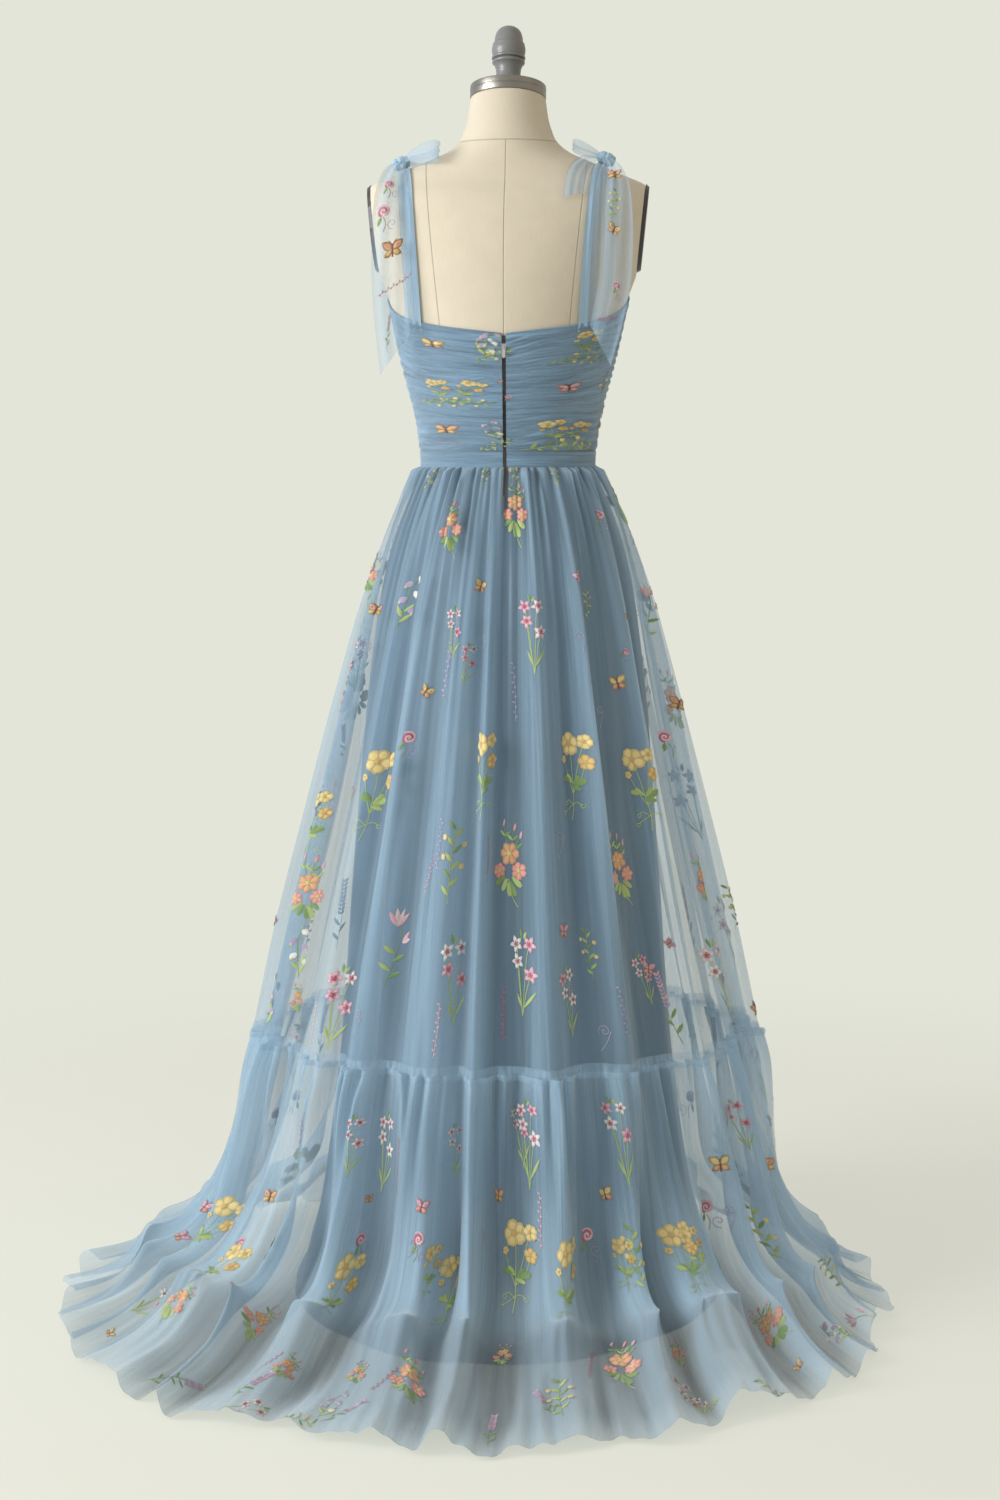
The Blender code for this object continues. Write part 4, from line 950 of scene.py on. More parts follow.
def make_torso(look):
    """The torso's linen, closed at its foot and at the neck."""
    spans = ((0.80, 1.05, 26), (1.05, 1.42, 75), (1.42, NECK_TOP - 0.0005, 50))
    heights = np.unique(np.concatenate([np.linspace(*span) for span in spans]))
    points = form_point(grid(2, 169)[1], heights[::-1, None])
    first, last = points[0].mean(axis=0), points[-1].mean(axis=0)
    caps = [first + (points[0] - first) * s for s in (0.0, 0.9)]
    feet = [last + (points[-1] - last) * s for s in (0.9, 0.0)]
    points = np.concatenate([caps, points, feet])
    linen = linen_material("form linen", look.linen_colour)
    close_up(cloth_piece("torso_linen", points, linen, "linen", "form_torso"))


def spun(name, profile, material, slot, matrix, steps, node):
    """A turned piece: an outline of (radius, height) pairs spun round Z in edit mode."""
    mesh = bpy.data.meshes.new(name)
    outline = [(radius, 0, height) for radius, height in profile]
    mesh.from_pydata(outline, [(i, i + 1) for i in range(len(outline) - 1)], [])
    obj = finish_object(name, mesh, material, slot, node)
    close_up(obj, 0.00002, steps)
    obj.data.transform(matrix)
    bpy.ops.object.shade_smooth_by_angle(angle=math.radians(40))


def arc(x, y, radius, start, end, points):
    """Points of an arc in an outline, its angles in degrees from outwards to up."""
    angles = np.radians(np.linspace(start, end, points))
    return [(x + radius * math.cos(t), y + radius * math.sin(t)) for t in angles]


def corners(text):
    """Points of an outline from a short table of radii and heights."""
    return [tuple(row) for row in rows_of(text)]


def make_neck_fittings(look):
    top = Matrix.Translation((0, 0, NECK_TOP)) @ Matrix.Rotation(-NECK_TILT, 4, "X")
    radius, tall, edge, groove = look.cap_radius, look.cap_height, 0.0014, 0.0006
    steel = hard_material("worn steel", (0.30, 0.285, 0.255), 0.34, 1.0, 0.25, 45.0)
    cap = [(0, GAP), (radius - edge, GAP), *arc(radius - edge, GAP + edge, edge, -90, 0, 5)]
    cap += [(radius, tall * 0.45), (radius - groove, tall * 0.48), (radius - groove, tall * 0.54)]
    cap += [(radius, tall * 0.57), *arc(radius - edge, tall - edge, edge, 0, 90, 5)]
    cap += [(radius * 0.8, tall - 0.0003), (0.024, tall), (0, tall)]
    spun("neck_cap_steel", cap, steel, "chrome", top, 96, "neck_cap")
    knob = [
        *corners("0 0; .0185 0"), *arc(0.0185, 0.0022, 0.0022, -90, 60, 7),
        *corners(".0176 .0058; .0163 .0110; .0160 .0170; .0164 .0225; .0185 .0290"),
        *arc(0.0188, 0.0325, 0.0027, -60, 75, 7), (0.0190, 0.0362),
        *arc(0.0198, 0.0385, 0.0024, -50, 70, 6),
        *corners(".0216 .0440; .0222 .0480; .0220 .0520"), *arc(0.0190, 0.0560, 0.0022, -20, 80, 6),
        *corners(".0189 .0600; .0184 .0655; .0166 .0720; .0136 .0765; .0090 .0797; .0045 .0811; 0 .0815"),
    ]
    knob = [(across, tall + GAP + up) for across, up in knob]
    spun("neck_knob", knob, grey_enamel(look), "grey_paint", top, 64, "finial")


def grey_enamel(look):
    return hard_material("grey enamel", look.paint_colour, 0.42, 0.0, 0.14, 110.0, 0.25)


class GOWN_OT_form(Operator):
    """Linen torso, neck cap, knob, armhole plates and stand."""

    bl_idname = "gown.form"
    bl_label = "Dress form"

    def execute(self, context):
        look = settings("gown_form")
        make_torso(look)
        make_neck_fittings(look)
        plate = hard_material("dark enamel", (0.035, 0.035, 0.038), 0.45, 0.0, 0.2, 90.0, 0.2)
        dress_node("armhole_plate_left", plate)
        dress_node("armhole_plate_right", plate)
        dress_node("stand_pole", hard_material("pole chrome", (0.62, 0.61, 0.59), 0.12, 1.0, 0.05, 60.0))
        dress_node("stand_base", grey_enamel(look))
        return {"FINISHED"}


def dress_node(node, finish):
    """Gives a carried-over solid its finish."""
    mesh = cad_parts[node].data
    mesh.materials.clear()
    mesh.materials.append(finish)


# ---- Skirts and lining

PANELS = (("front", 0.25, 0.75), ("back_right", 0.0, 0.25), ("back_left", 0.75, 1.0))


def skirt_panel(cloth, first, last, columns, rows, power=1.0, opening=0.0):
    """A panel's points between two turns, their depths and turns; open at the zip above a depth."""
    depth, across = grid(rows, columns)
    depth = depth**power
    gap = np.where(depth < opening, SLIT_HALF, 0.0) / (cloth.columns(depth)["right"] * FULL_TURN)
    start, end = first + gap * (first == 0), last - gap * (last == 1)
    turn = start + (end - start) * across
    depth = np.broadcast_to(depth, turn.shape)
    return cloth(depth, turn), depth, turn


def fullness(cloth, depth, turn, base, crowded, low):
    """How many layers thick the gathered net counts: most at its seam, and along its creases."""
    away = aside(turn)
    at_side = mound(np.abs(away), 0.25, 0.08) * ease(depth, 0.05, 0.3)
    below = ease(depth, 0.25, 0.6) - 0.75 * ease(depth, 0.88, 1.0)
    layers = base + crowded * np.exp(-depth / 0.07) + low * below * mound(away, 0.02, 0.17)
    doubled = np.minimum(cloth.creased(depth, turn)[1], 2.0)
    return layers * (1 - 0.18 * at_side) + (0.6 - 0.4 * at_side) * doubled


def sheer_net():
    look = settings("gown_cloth")
    return net_material("sheer net", look.tulle_colour, look.sheer)


def hang_net(piece, node, cloth, finer, full, dark, head_painted_shade=0.0, **make):
    """Hangs the three panels of a gathered skirt, one by one."""
    for side, first, last in PANELS:
        columns = int(settings("gown_cloth").columns * finer * (last - first)) + 1
        points, depth, turn = skirt_panel(cloth, first, last, columns, 110, **make)
        # Painted shade on the net: dark sets it in fold hollows and over the train, and the head value
        # darkens the net near its upper seam
        painted_shade = cloth.painted_shade(depth, turn, *dark) + head_painted_shade * (1 - ease(depth, 0.2, 0.5))
        values = {"layers": fullness(cloth, depth, turn, *full), "painted_shade": painted_shade}
        name = f"{piece}_{side}"
        yield side, cloth_piece(name, points, sheer_net(), "tulle", f"{node}_{side}", **values)


class GOWN_OT_skirt(Operator):
    """Gathered upper tier of embroidered net."""

    bl_idname = "gown.skirt"
    bl_label = "Upper skirt"

    def execute(self, context):
        # dark and the head value set the painted shade: in fold hollows, over the train and near the waist
        looks = {"full": (1.15, 1.8, 0.2), "dark": (0.50, 0.05), "head_painted_shade": 0.13}
        for side, obj in hang_net("tier", "skirt", TIER_CLOTH, 1.0, **looks, power=1.25, opening=0.16):
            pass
        return {"FINISHED"}


class GOWN_OT_flounce(Operator):
    """Gathered flounce that runs out in the train."""

    bl_idname = "gown.flounce"
    bl_label = "Flounce and train"

    def execute(self, context):
        # dark sets the painted shade in fold hollows and over the train's middle
        looks = {"full": (1.45, 1.8, 4.6), "dark": (0.40, 0.52)}
        for side, obj in hang_net("flounce_net", "flounce", FLOUNCE_CLOTH, 1.2, **looks):
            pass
        return {"FINISHED"}


class GOWN_OT_seam(Operator):
    """Puckered band of net over the seam of tier and flounce."""

    bl_idname = "gown.seam"
    bl_label = "Joining seam"

    def execute(self, context):
        share, turn = grid(8, 1441)
        above = TIER_CLOTH(rows_of(".990; .994; .998"), turn)
        below = FLOUNCE_CLOTH(rows_of(".003; .007; .012; .017; .021"), turn)
        points = np.concatenate([above, below])
        a, bulge = FULL_TURN * turn, np.sin(math.pi * share)
        pucker = np.abs(np.sin(118 * a + 3 * np.sin(17 * a) + 0.8 * share)) * (0.6 + 0.4 * np.sin(41 * a))
        rise = 0.0006 + (0.0012 + 0.0016 * pucker) * bulge
        rise = rise - 0.0012 * mound(share, 0.30, 0.08) - 0.0010 * mound(share, 0.75, 0.08)
        points = points + rise[..., None] * surface_normals(points)
        obj = cloth_piece("tier_seam_net", points, sheer_net(), "tulle", layers=1.0 + pucker * bulge)
        return {"FINISHED"}


class GOWN_OT_lining(Operator):
    """Plain lining under the net."""

    bl_idname = "gown.lining"
    bl_label = "Lining"

    def execute(self, context):
        colour = settings("gown_cloth").lining_colour
        satin = cloth_material("lining satin", colour, 0.5, 0.25, 2200.0, 0.05)
        for side, first, last in (("front", 0.25, 0.75), ("back", -0.25, 0.25)):
            points, depth, _ = skirt_panel(LINING_CLOTH, first, last, 181, 90)
            # the hem value sets the painted light that pales the lining near its hem
            name, hem = f"lining_{side}", 0.8 * ease(depth, 0.80, 0.99)
            obj = cloth_piece(f"{name}_satin", points, satin, "lining", name, hem=hem)
        return {"FINISHED"}


# ---- Bodice


def ruched_point(turn, share, ruching):
    """The bodice's outer face; share runs from the waistband (0) to the neckline (1)."""
    turn, share = np.broadcast_arrays(turn, share)
    a = FULL_TURN * turn
    sway = 0.05 * np.sin(3 * a + 4 * share) + 0.03 * np.sin(7 * a - 5 * share + 1.0)
    phase = 17 * (share + 0.35 * sway) + 0.35 * np.sin(5 * a + 9 * share)
    split = ease(np.sin(9 * a + 6 * share + 0.5), -0.2, 0.6)
    ridge = np.abs(np.sin(math.pi * phase)) ** 0.8
    second = np.abs(np.sin(math.pi * (2 * phase + 0.3 * np.sin(11 * a)))) ** 0.9
    wrinkle = np.sin(61 * share * math.pi + 5 * np.sin(13 * a)) * np.sin(17 * a + 20 * share)
    height = ridge * (0.75 + 0.35 * np.sin(6 * a + 8 * share)) * (1 - 0.35 * split)
    height = height + 0.35 * second * split + 0.12 * wrinkle
    calm = ease(share, 0.0, 0.03) * (1 - ease(share, 0.955, 0.985))
    height = height * calm * (1 + 0.5 * mound(aside(turn), 0.0, 0.03)) * ruching
    foot = BAND_TOP + GAP
    z = foot + (neckline(turn) - foot) * share
    plain = form_point(turn, z)
    lobe = BUST_EASE * bust_lobe(plain[..., 0], plain[..., 1], z)
    return form_point(turn, z, BODICE_CLEAR + BODICE_WALL + GAP + lobe + height)


def bodice_panel(first, last, columns, ruching):
    """Outer face of a panel, with its upper edge turned in and its edges at the zip held back from the
    opening.
    """
    down, across = grid(190, columns)
    opening = BODICE_OPENING_HALF / BAND_ROUND
    start, end = first + opening * (first == 0), last - opening * (last == 1)
    points = ruched_point(start + (end - start) * across, 1 - down, ruching)
    edge = points[:1]
    plain = form_point(start + (end - start) * across, edge[..., 2])
    turned_in = rows_of(".45 -.007; .40 .0002; .72 .0009")
    lip = [plain + (edge - plain) * out + (0, 0, rise) for out, rise in turned_in]
    return np.concatenate([*lip, points])


class GOWN_OT_bodice(Operator):
    """Ruched bodice and smooth waistband."""

    bl_idname = "gown.bodice"
    bl_label = "Bodice"

    def execute(self, context):
        look = settings("gown_cloth")
        net = ruched_material("ruched net", look.bodice_colour)
        for side, first, last in PANELS:
            points = bodice_panel(first, last, int(440 * (last - first)) + 1, look.ruching)
            obj = cloth_piece(f"ruched_{side}", points, net, "ruched_tulle", f"bodice_{side}")
        obj = cloth_piece("waistband_net", self.band_points(), net, "ruched_tulle", "waistband")
        return {"FINISHED"}

    def band_points(self):
        """A smooth band with rolled edges and a few flat pleats."""
        drop, off = rows_of(
            "0 .0008; .0004 .0022; .0016 .0030; .0060 .0031; .0064 .0027; .0072 .0031; .0136 .0032;"
            ".0140 .0028; .0148 .0032; .0200 .0032; .0213 .0030; .0216 .0022"
        ).T[..., None]
        opening = OPENING_HALF / BAND_ROUND
        turn = grid(2, 361, opening, 1 - opening)[1]
        drift = 0.0009 * np.sin(3 * FULL_TURN * turn + 0.5) * np.sin(math.pi * drop / 0.0212)
        return form_point(turn, BAND_TOP - drop + drift, off + GAP)


# ---- Zip


class GOWN_OT_zip(Operator):
    """Coil, tape and slider of the zip at the centre back."""

    bl_idname = "gown.zip"
    bl_label = "Zip"

    def execute(self, context):
        dress_node("zip_tape", tape_material("woven tape", (0.12, 0.108, 0.10)))
        metal = hard_material("nickel", (0.66, 0.66, 0.67), 0.22, 1.0, 0.08, 300.0)
        dress_node("zip_slider", metal)
        dress_node("zip_pull", metal)
        nylon = hard_material("dark nylon", (0.10, 0.084, 0.074), 0.35, 0.0, 0.2, 500.0)
        for side, route in self.coil_routes():
            points = tube_grid(route, 0.00026, 5)
            close_up(cloth_piece(f"zip_coil_{side}", points, nylon, "zip_tape"))
        return {"FINISHED"}

    def coil_routes(self):
        """Middle lines of two meshing coils down the tape's middle."""
        tall = 0.0013
        along = np.arange(ZIP_END + 0.003, ZIP_TOP, tall / 12)
        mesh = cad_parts["zip_tape"].data
        verts = np.empty(len(mesh.vertices) * 3)
        mesh.vertices.foreach_get("co", verts)
        verts = verts.reshape(-1, 3)
        levels = np.unique(np.round(verts[:, 2], 5))
        nearest = [verts[np.abs(verts[:, 2] - z) < 2e-4, 1].min() for z in levels]
        face = np.interp(along, levels, nearest)
        for side, sign, start in (("left", -1, 0.0), ("right", 1, math.pi)):
            a = FULL_TURN * (along - along[0]) / tall + start
            x = sign * 0.0007 + 0.00115 * np.cos(a)
            yield side, np.stack([x, face - 0.00065 - 0.00045 * np.sin(a), along], axis=-1)


def tube_grid(route, radius, sides):
    """A round tube's points along a route, sides + 1 columns."""
    along = unit(np.gradient(route, axis=0))
    first = unit(np.cross(along, (0.3, 0.9, 0.31)))
    second = np.cross(along, first)
    a = FULL_TURN * np.arange(sides + 1)[:, None] / sides
    return route[:, None] + radius * (first[:, None] * np.cos(a) + second[:, None] * np.sin(a))


# ---- Straps and bows


def shoulder_z(x):
    """Height of the form's shoulder line above a distance x from its middle."""
    z = np.linspace(PLATE["z"] + 0.02, TILT_FROM, 200)
    return np.interp(-np.abs(x), -curve(z, FORM["z"], FORM["half_width"]), z)


def form_side(x, z, front):
    """y of the form's back or front surface at a place (x, z) seen from behind."""
    half_width, back, ahead = form_reach(z)
    level = np.sqrt(np.clip(1 - (x / half_width) ** 2, 0, 1))
    y = ahead * level if front else -back * level
    return y + (BUST["reach"] * bust_lobe(x, y, z) if front else 0)


class GOWN_OT_straps(Operator):
    """Folded shoulder straps from the bodice to the bows."""

    bl_idname = "gown.straps"
    bl_label = "Straps"

    def execute(self, context):
        look = settings("gown_cloth")
        net = net_material("strap net", shade(look.tulle_colour, 0.92), look.sheer * 1.3, 260.0)
        for side, bow in BOWS.items():
            for front in (False, True):
                node = f"strap_{'front' if front else 'back'}_{side}"
                points, fold = self.strap_points(bow, front)
                values = {"layers": 1.3 + 4.5 * fold}
                obj = cloth_piece(f"{node}_net", points, net, "strap_tulle", node, **values)
        return {"FINISHED"}

    def strap_points(self, bow, front):
        """The strap's outer face, and where one edge of it is folded double (1)."""
        foot_x, way = (bow["front_x"], -1) if front else (bow["foot_x"], 1)
        down, across = grid(80, 15, -0.5, 0.5)
        share, across = 1 - down, across * way
        wide = STRAP_WIDTH * (1 - STRAP_NARROWED * share)
        x = foot_x + (bow["knot_x"] - foot_x) * share + across * wide
        rim_turn = np.arcsin(np.clip((foot_x + across * STRAP_WIDTH) / RIM_HALF, -1, 1)) / FULL_TURN
        foot_z = neckline(0.5 - rim_turn if front else rim_turn) - STRAP_TUCK
        top = shoulder_z(x) - 2 * GAP
        z = foot_z + (top - foot_z) * np.sin(share * math.radians(88))
        points = np.stack([x, form_side(x, z, front), z], axis=-1)
        flute = 0.0007 * np.cos(FULL_TURN * 2.2 * across + 5 * share) + 0.0004 * np.cos(40 * across)
        lift = STRAP_CLEAR + STRAP_WALL + flute
        fold = ease(-across * np.sign(foot_x) * way, -0.06, 0.02) + 0 * share
        return points + lift[..., None] * surface_normals(points), fold


def knot_frame(bow):
    """The knot lies on the straps' ends, along the shoulder's slope."""
    x = bow["knot_x"]
    slope = math.atan2(shoulder_z(x + 0.01) - shoulder_z(x - 0.01), 0.02)
    lift = STRAP_CLEAR + STRAP_WALL - KNOT_SINK + KNOT_SIZE[2]
    middle = (x - lift * math.sin(slope), 0, float(shoulder_z(x)) + lift * math.cos(slope))
    return Matrix.Translation(middle) @ Matrix.Rotation(-slope, 4, "Y")


def knot_seat(bow, toward):
    """The place just off a knot's surface, on the way from its middle to a point."""
    way = knot_frame(bow).inverted() @ Vector(toward)
    reach = sum(abs(c / half) ** 3 for c, half in zip(way, KNOT_SIZE)) ** (-1 / 3)
    return np.array(knot_frame(bow) @ (reach * way + (KNOT_CLEAR - 0.003) * way.normalized()))


class Ribbon:
    """A band of cloth along a smooth route, read at shares of its length and of its width."""

    def __init__(self, route, across, widths, ripple, slant, curl):
        self.route, self.across, self.widths = route, np.array(across, float), widths
        steps = np.linalg.norm(np.diff(self.route, axis=0), axis=1)
        self.marks = np.concatenate(([0], np.cumsum(steps)))
        self.ripple, self.slant, self.curl = ripple, slant, curl

    def middle(self, share):
        at = np.clip(share, 0, 1) * self.marks[-1]
        return np.stack([curve(at, self.marks, self.route[:, i]) for i in range(3)], axis=-1)

    def __call__(self, share, place):
        share, place = np.broadcast_arrays(np.asarray(share, float), np.asarray(place, float))
        along = unit(self.middle(share + 0.01) - self.middle(share - 0.01))
        sides = unit(self.across - np.sum(along * self.across, axis=-1, keepdims=True) * along)
        width = curve(share * self.marks[-1], self.marks, self.widths)
        wave = self.ripple * share * np.cos(FULL_TURN * 1.25 * place + 0.6)
        wave = wave + self.curl * np.cos(FULL_TURN * (2.6 * place + 0.3 * np.sin(3 * share)) + 4 * share)
        out = np.cross(along, sides) * (wave * np.minimum(1, width / 0.03))[..., None]
        moved = sides * (width * place)[..., None] + along * (self.slant * share**2 * place)[..., None]
        return self.middle(share) + moved + out


def side_of(name):
    return name.split("_")[-1]


def bow_end(name):
    """A tail or a short end, from its knot down."""
    across, ripple, slant, text = ENDS[name]
    route = rows_of(text)
    route[0, :3] = knot_seat(BOWS[side_of(name)], route[0, :3])
    return Ribbon(route[:, :3], across, route[:, 3], ripple, slant, 0.0012)


def bow_loop(name):
    """Each loop leaves the knot, turns at its tip and comes back, with its middle open."""
    loop = LOOPS[name]
    root, tip = knot_seat(BOWS[side_of(name)], loop["root"]), np.array(loop["tip"])
    open_way = unit(np.cross(LOOP_ACROSS, tip - root))
    t = np.linspace(LOOP_START, 1 - LOOP_START, 33)[:, None]
    start = math.sin(math.pi * LOOP_START)
    route = root + (tip - root) * (np.sin(math.pi * t) - start) / (1 - start)
    route = route + open_way * loop["puff"] * np.sin(FULL_TURN * t)
    widths = loop["width"] * (0.35 + 0.65 * np.sin(math.pi * t[:, 0]))
    return Ribbon(route, LOOP_ACROSS, widths, 0.0, 0.0, 0.0008)


class GOWN_OT_bows(Operator):
    """Knots, loops, tails and short ends tied on the shoulders."""

    bl_idname = "gown.bows"
    bl_label = "Bows"

    def execute(self, context):
        look = settings("gown_cloth")
        net = net_material("bow net", shade(look.tulle_colour, 0.98), look.sheer * 0.82, 200.0)
        share, place = grid(90, 25, -0.5, 0.5)
        for name in (*ENDS, *LOOPS):
            end = name in ENDS
            ribbon = bow_end(name) if end else bow_loop(name)
            close = np.exp(-share / 0.08) + (0 if end else np.exp((share - 1) / 0.08))
            doubled = ease(place, -0.32, -0.24) * (1 - ease(place, -0.05, 0.0)) if end else 0.4
            values = {"layers": 1.3 + 1.2 * close + 0.9 * doubled + 0 * place}
            obj = cloth_piece(f"{name}_net", ribbon(share, place), net, "strap_tulle", name, **values)
            f"knot_{side_of(name)}"
        cloth = cloth_material("knot cloth", shade(look.tulle_colour, 1.2), 0.7, 0.3, 1100.0, 0.18)
        for side, bow in BOWS.items():
            node, points = f"knot_{side}", self.knot_points(bow)
            obj = cloth_piece(f"{node}_wrapped", points, cloth, "strap_tulle", node)
            close_up(obj)
        return {"FINISHED"}

    def knot_points(self, bow):
        """A band wrapped round the straps: soft creases run round it and pinch at its ends."""
        up, turn = grid(41, 73)
        up, turn = math.pi * up, FULL_TURN * turn
        ball = [np.cos(up) + 0 * turn, np.sin(up) * np.sin(turn), np.sin(up) * np.cos(turn)]
        ball = np.stack(ball, axis=-1)
        size = np.sum(np.abs(ball) ** 3, axis=-1) ** (1 / 3)
        crease = 0.05 * np.cos(9 * up + 0.7 * np.sin(turn) + 0.5) + 0.025 * np.cos(17 * up + np.sin(2 * turn))
        scale = (0.96 + crease * np.sin(up) ** 2) / size
        placed = np.array(knot_frame(bow))
        return ball * KNOT_SIZE * scale[..., None] @ placed[:3, :3].T + placed[:3, 3]


# ---- Embroidery

THREADS = {
    "yellow": (0.88, 0.70, 0.30), "gold": (0.80, 0.55, 0.20), "coral": (0.86, 0.40, 0.33),
    "orange": (0.84, 0.46, 0.25), "pink": (0.83, 0.47, 0.54), "blush": (0.88, 0.73, 0.73),
    "berry": (0.55, 0.12, 0.20), "green": (0.24, 0.39, 0.13), "lime": (0.47, 0.60, 0.20),
    "lilac": (0.48, 0.40, 0.60), "white": (0.88, 0.87, 0.82), "wine": (0.20, 0.06, 0.05),
}
LEAVES = ["lime", "green"]
POINTED = (0.30, 0.85, 1.0, 0.72, 0.10)
BLUNT = (0.34, 0.76, 1.0, 1.0, 0.50)


class Motif:
    """Satin stitched bands of one motif: middle lines and half widths in millimetres, and threads."""

    def __init__(self, seed):
        self.bands = []
        self.pick = np.random.default_rng(seed)

    def band(self, line, half, thread, over=0, dark=1.0):
        tone = dark * (1 + 0.12 * (self.pick.random() - 0.5))
        colour = np.array(THREADS[thread]) * tone
        self.bands.append((np.array(line, float), np.array(half, float), colour, over))

    def leaf(self, x, y, angle, length, width, thread, over=0, dark=1.0, shape=POINTED):
        """A petal or leaf from its root; the angle is in degrees clockwise from up."""
        t = np.linspace(0, length, 5)[:, None]
        line = (x, y) + t * self.way(angle)
        self.band(line, width / 2 * np.array(shape), thread, over, dark)

    def way(self, angle):
        return np.array((math.sin(math.radians(angle)), math.cos(math.radians(angle))))

    def stem(self, points, thread, width=0.9):
        points = np.array(points, float)
        at = np.arange(len(points), dtype=float)
        t = np.linspace(0, len(points) - 1, 4 * len(points) - 3)
        line = np.stack([curve(t, at, points[:, 0]), curve(t, at, points[:, 1])], axis=-1)
        self.band(line, np.full(len(t), width / 2), thread)

    def blossom(self, x, y, radius, petals, thread, heart, shape=BLUNT, plump=1.6, edge=0.68):
        """A flower of petals with a darker edge round a lighter middle."""
        turn = 360 * self.pick.random()
        wide = plump * radius * math.sin(math.pi / petals)
        for k in range(petals):
            angle = turn + 360 * k / petals
            step = radius * self.way(angle)
            long = radius * self.pick.uniform(0.84, 1.0)
            self.leaf(*((x, y) + 0.08 * step), angle, long, wide, thread, 0, edge, shape)
            self.leaf(*((x, y) + 0.24 * step), angle, 0.68 * long, 0.66 * wide, thread, 1, 1.1, shape)
            self.leaf(x, y, angle, 0.5 * radius, 0.16 * radius, heart, 2)
        self.dot(x, y, 0.16 * radius, heart, 3)

    def dot(self, x, y, radius, thread, over=1):
        line = [(x, y + step * radius) for step in (-1, -0.6, 0.6, 1)]
        self.band(line, (0.2 * radius, 0.9 * radius, 0.9 * radius, 0.2 * radius), thread, over)

    def curl(self, x, y, radius, turns, thread, width=1.0, start=0.0):
        t = np.linspace(0, 1, int(10 * turns) + 4)
        a = start + FULL_TURN * turns * t
        line = np.stack([x + radius * t * np.cos(a), y + radius * t * np.sin(a)], axis=-1)
        self.band(line, np.full(len(t), width / 2), thread)


def golden_sprig(m):
    flowers = ((-7, 38, 14, "yellow"), (13, 42, 9, "yellow"), (14, 18, 8.5, "gold"), (-17, 20, 4.5, "yellow"))
    for x, y, size, thread in flowers:
        m.stem([(x, y), (x * 0.55, y - 20), (-3, -18)], "lime")
        m.blossom(x, y, size, 5, thread, "gold", BLUNT, 1.6, 0.8)
    m.stem([(-3, -10), (-3, -30), (-6, -46)], "lime")
    for x, y, angle, long in rows_of("-4 -4 -75 15; -4 -6 -38 12; -2 -8 70 17; -2 -8 38 13; -3 -10 108 11"):
        m.leaf(x, y, angle, long, 0.42 * long, m.pick.choice(LEAVES), 0, 1.0, BLUNT)
    for x, y in ((-16, -28), (-20, -38), (8, -30)):
        m.stem([(-4, -30), ((x - 4) / 2, y + 3), (x, y)], "lime", 0.8)
        m.curl(x, y, 4.0, 1.1, "lime", 0.8)


def star_spray(m):
    for x, y, size in ((-8, 33, 9.5), (10, 35, 9), (-5, 15, 9), (13, 3, 9.5)):
        m.stem([(x, y), (x * 0.6 + 1, y - 20), (5, -44)], "lime", 0.8)
        m.blossom(x, y, size, 5, m.pick.choice(["blush", "white", "pink"]), "berry", POINTED, 0.95, 0.85)
    m.leaf(-1, 40, -12, 10, 4, "green")
    m.leaf(2, 40, 26, 8, 3.5, "lime")
    m.leaf(7, -34, 34, 24, 3.2, "lime")
    m.leaf(3, -34, -24, 16, 2.8, "lime")


def coral_posy(m):
    for x, y, top in ((-9, 42, 0), (5, 38, 1), (13, 30, 0)):
        m.stem([(0, 4), (x * 0.6, y - 14), (x, y)], "green", 0.8)
        m.leaf(x, y - 6, 14, 9, 3.4, "coral" if top else "pink", 1)
        for side in (-1, 1):
            m.leaf(x * 0.7, y - 16, side * 50, 9, 3.2, m.pick.choice(LEAVES[::-1]))
    for x, y, size, thread in ((0, 8, 12, "orange"), (-12, -10, 8, "coral"), (12, -9, 9, "coral")):
        m.blossom(x, y, size, 6, thread, "yellow", BLUNT, 1.5, 0.8)
    for x, y, angle, long in rows_of("-4 -16 -70 15; -2 -18 -28 14; 4 -16 65 15; 2 -20 30 17; 0 -22 170 14"):
        angle = angle if abs(angle) > 100 else 180 - angle * 0.8
        m.leaf(x, y, angle, long, 0.40 * long, m.pick.choice(LEAVES[::-1]), 0, 1.0, BLUNT)
    m.stem([(0, -18), (4, -34), (12, -46)], "lime")


def leafy_spray(m):
    m.stem([(2, 44), (-2, 8), (1, -44)], "lime")
    for k, y in enumerate(range(38, -40, -9)):
        side = 1 if k % 2 else -1
        m.leaf(0, y, side * 48, 14, 5, "lime" if k % 3 else "green")
    for x, y in ((-14, 28), (13, 20), (-13, 6), (12, -4)):
        m.dot(x, y, 3.4, "yellow")


def rose_bud(m):
    for k, thread in enumerate(("pink", "berry", "blush")):
        m.curl(0, 0, 9.5 - 2.2 * k, 1.4, thread, 2.6, 1.9 * k)
    m.leaf(-3, -8, 200, 12, 5, "green")
    m.stem([(0, -8), (3, -18), (0, -28)], "green")
    m.curl(12, -18, 8, 1.3, "lilac", 0.9, 3.0)


def butterfly(m):
    upper, lower = [("orange", "gold"), ("pink", "coral"), ("yellow", "orange")][m.pick.integers(3)]
    for side in (-1, 1):
        m.leaf(side * 0.8, 1, side * 52, 13, 9, upper, 0, 0.5)
        m.leaf(side * 1.6, 1.5, side * 52, 10.5, 6, upper, 1)
        m.leaf(side * 0.8, -1, side * 118, 9.5, 7, lower, 0, 0.5)
        m.leaf(side * 1.4, -1.2, side * 118, 7.5, 4.6, lower, 1)
        m.leaf(side * 3, 2.5, side * 52, 6, 2.4, "berry", 2)
        m.stem([(0, 5), (side * 3, 9), (side * 5, 10)], "wine", 0.6)
    m.stem([(0, 6), (0, 0), (0, -7)], "wine", 1.7)


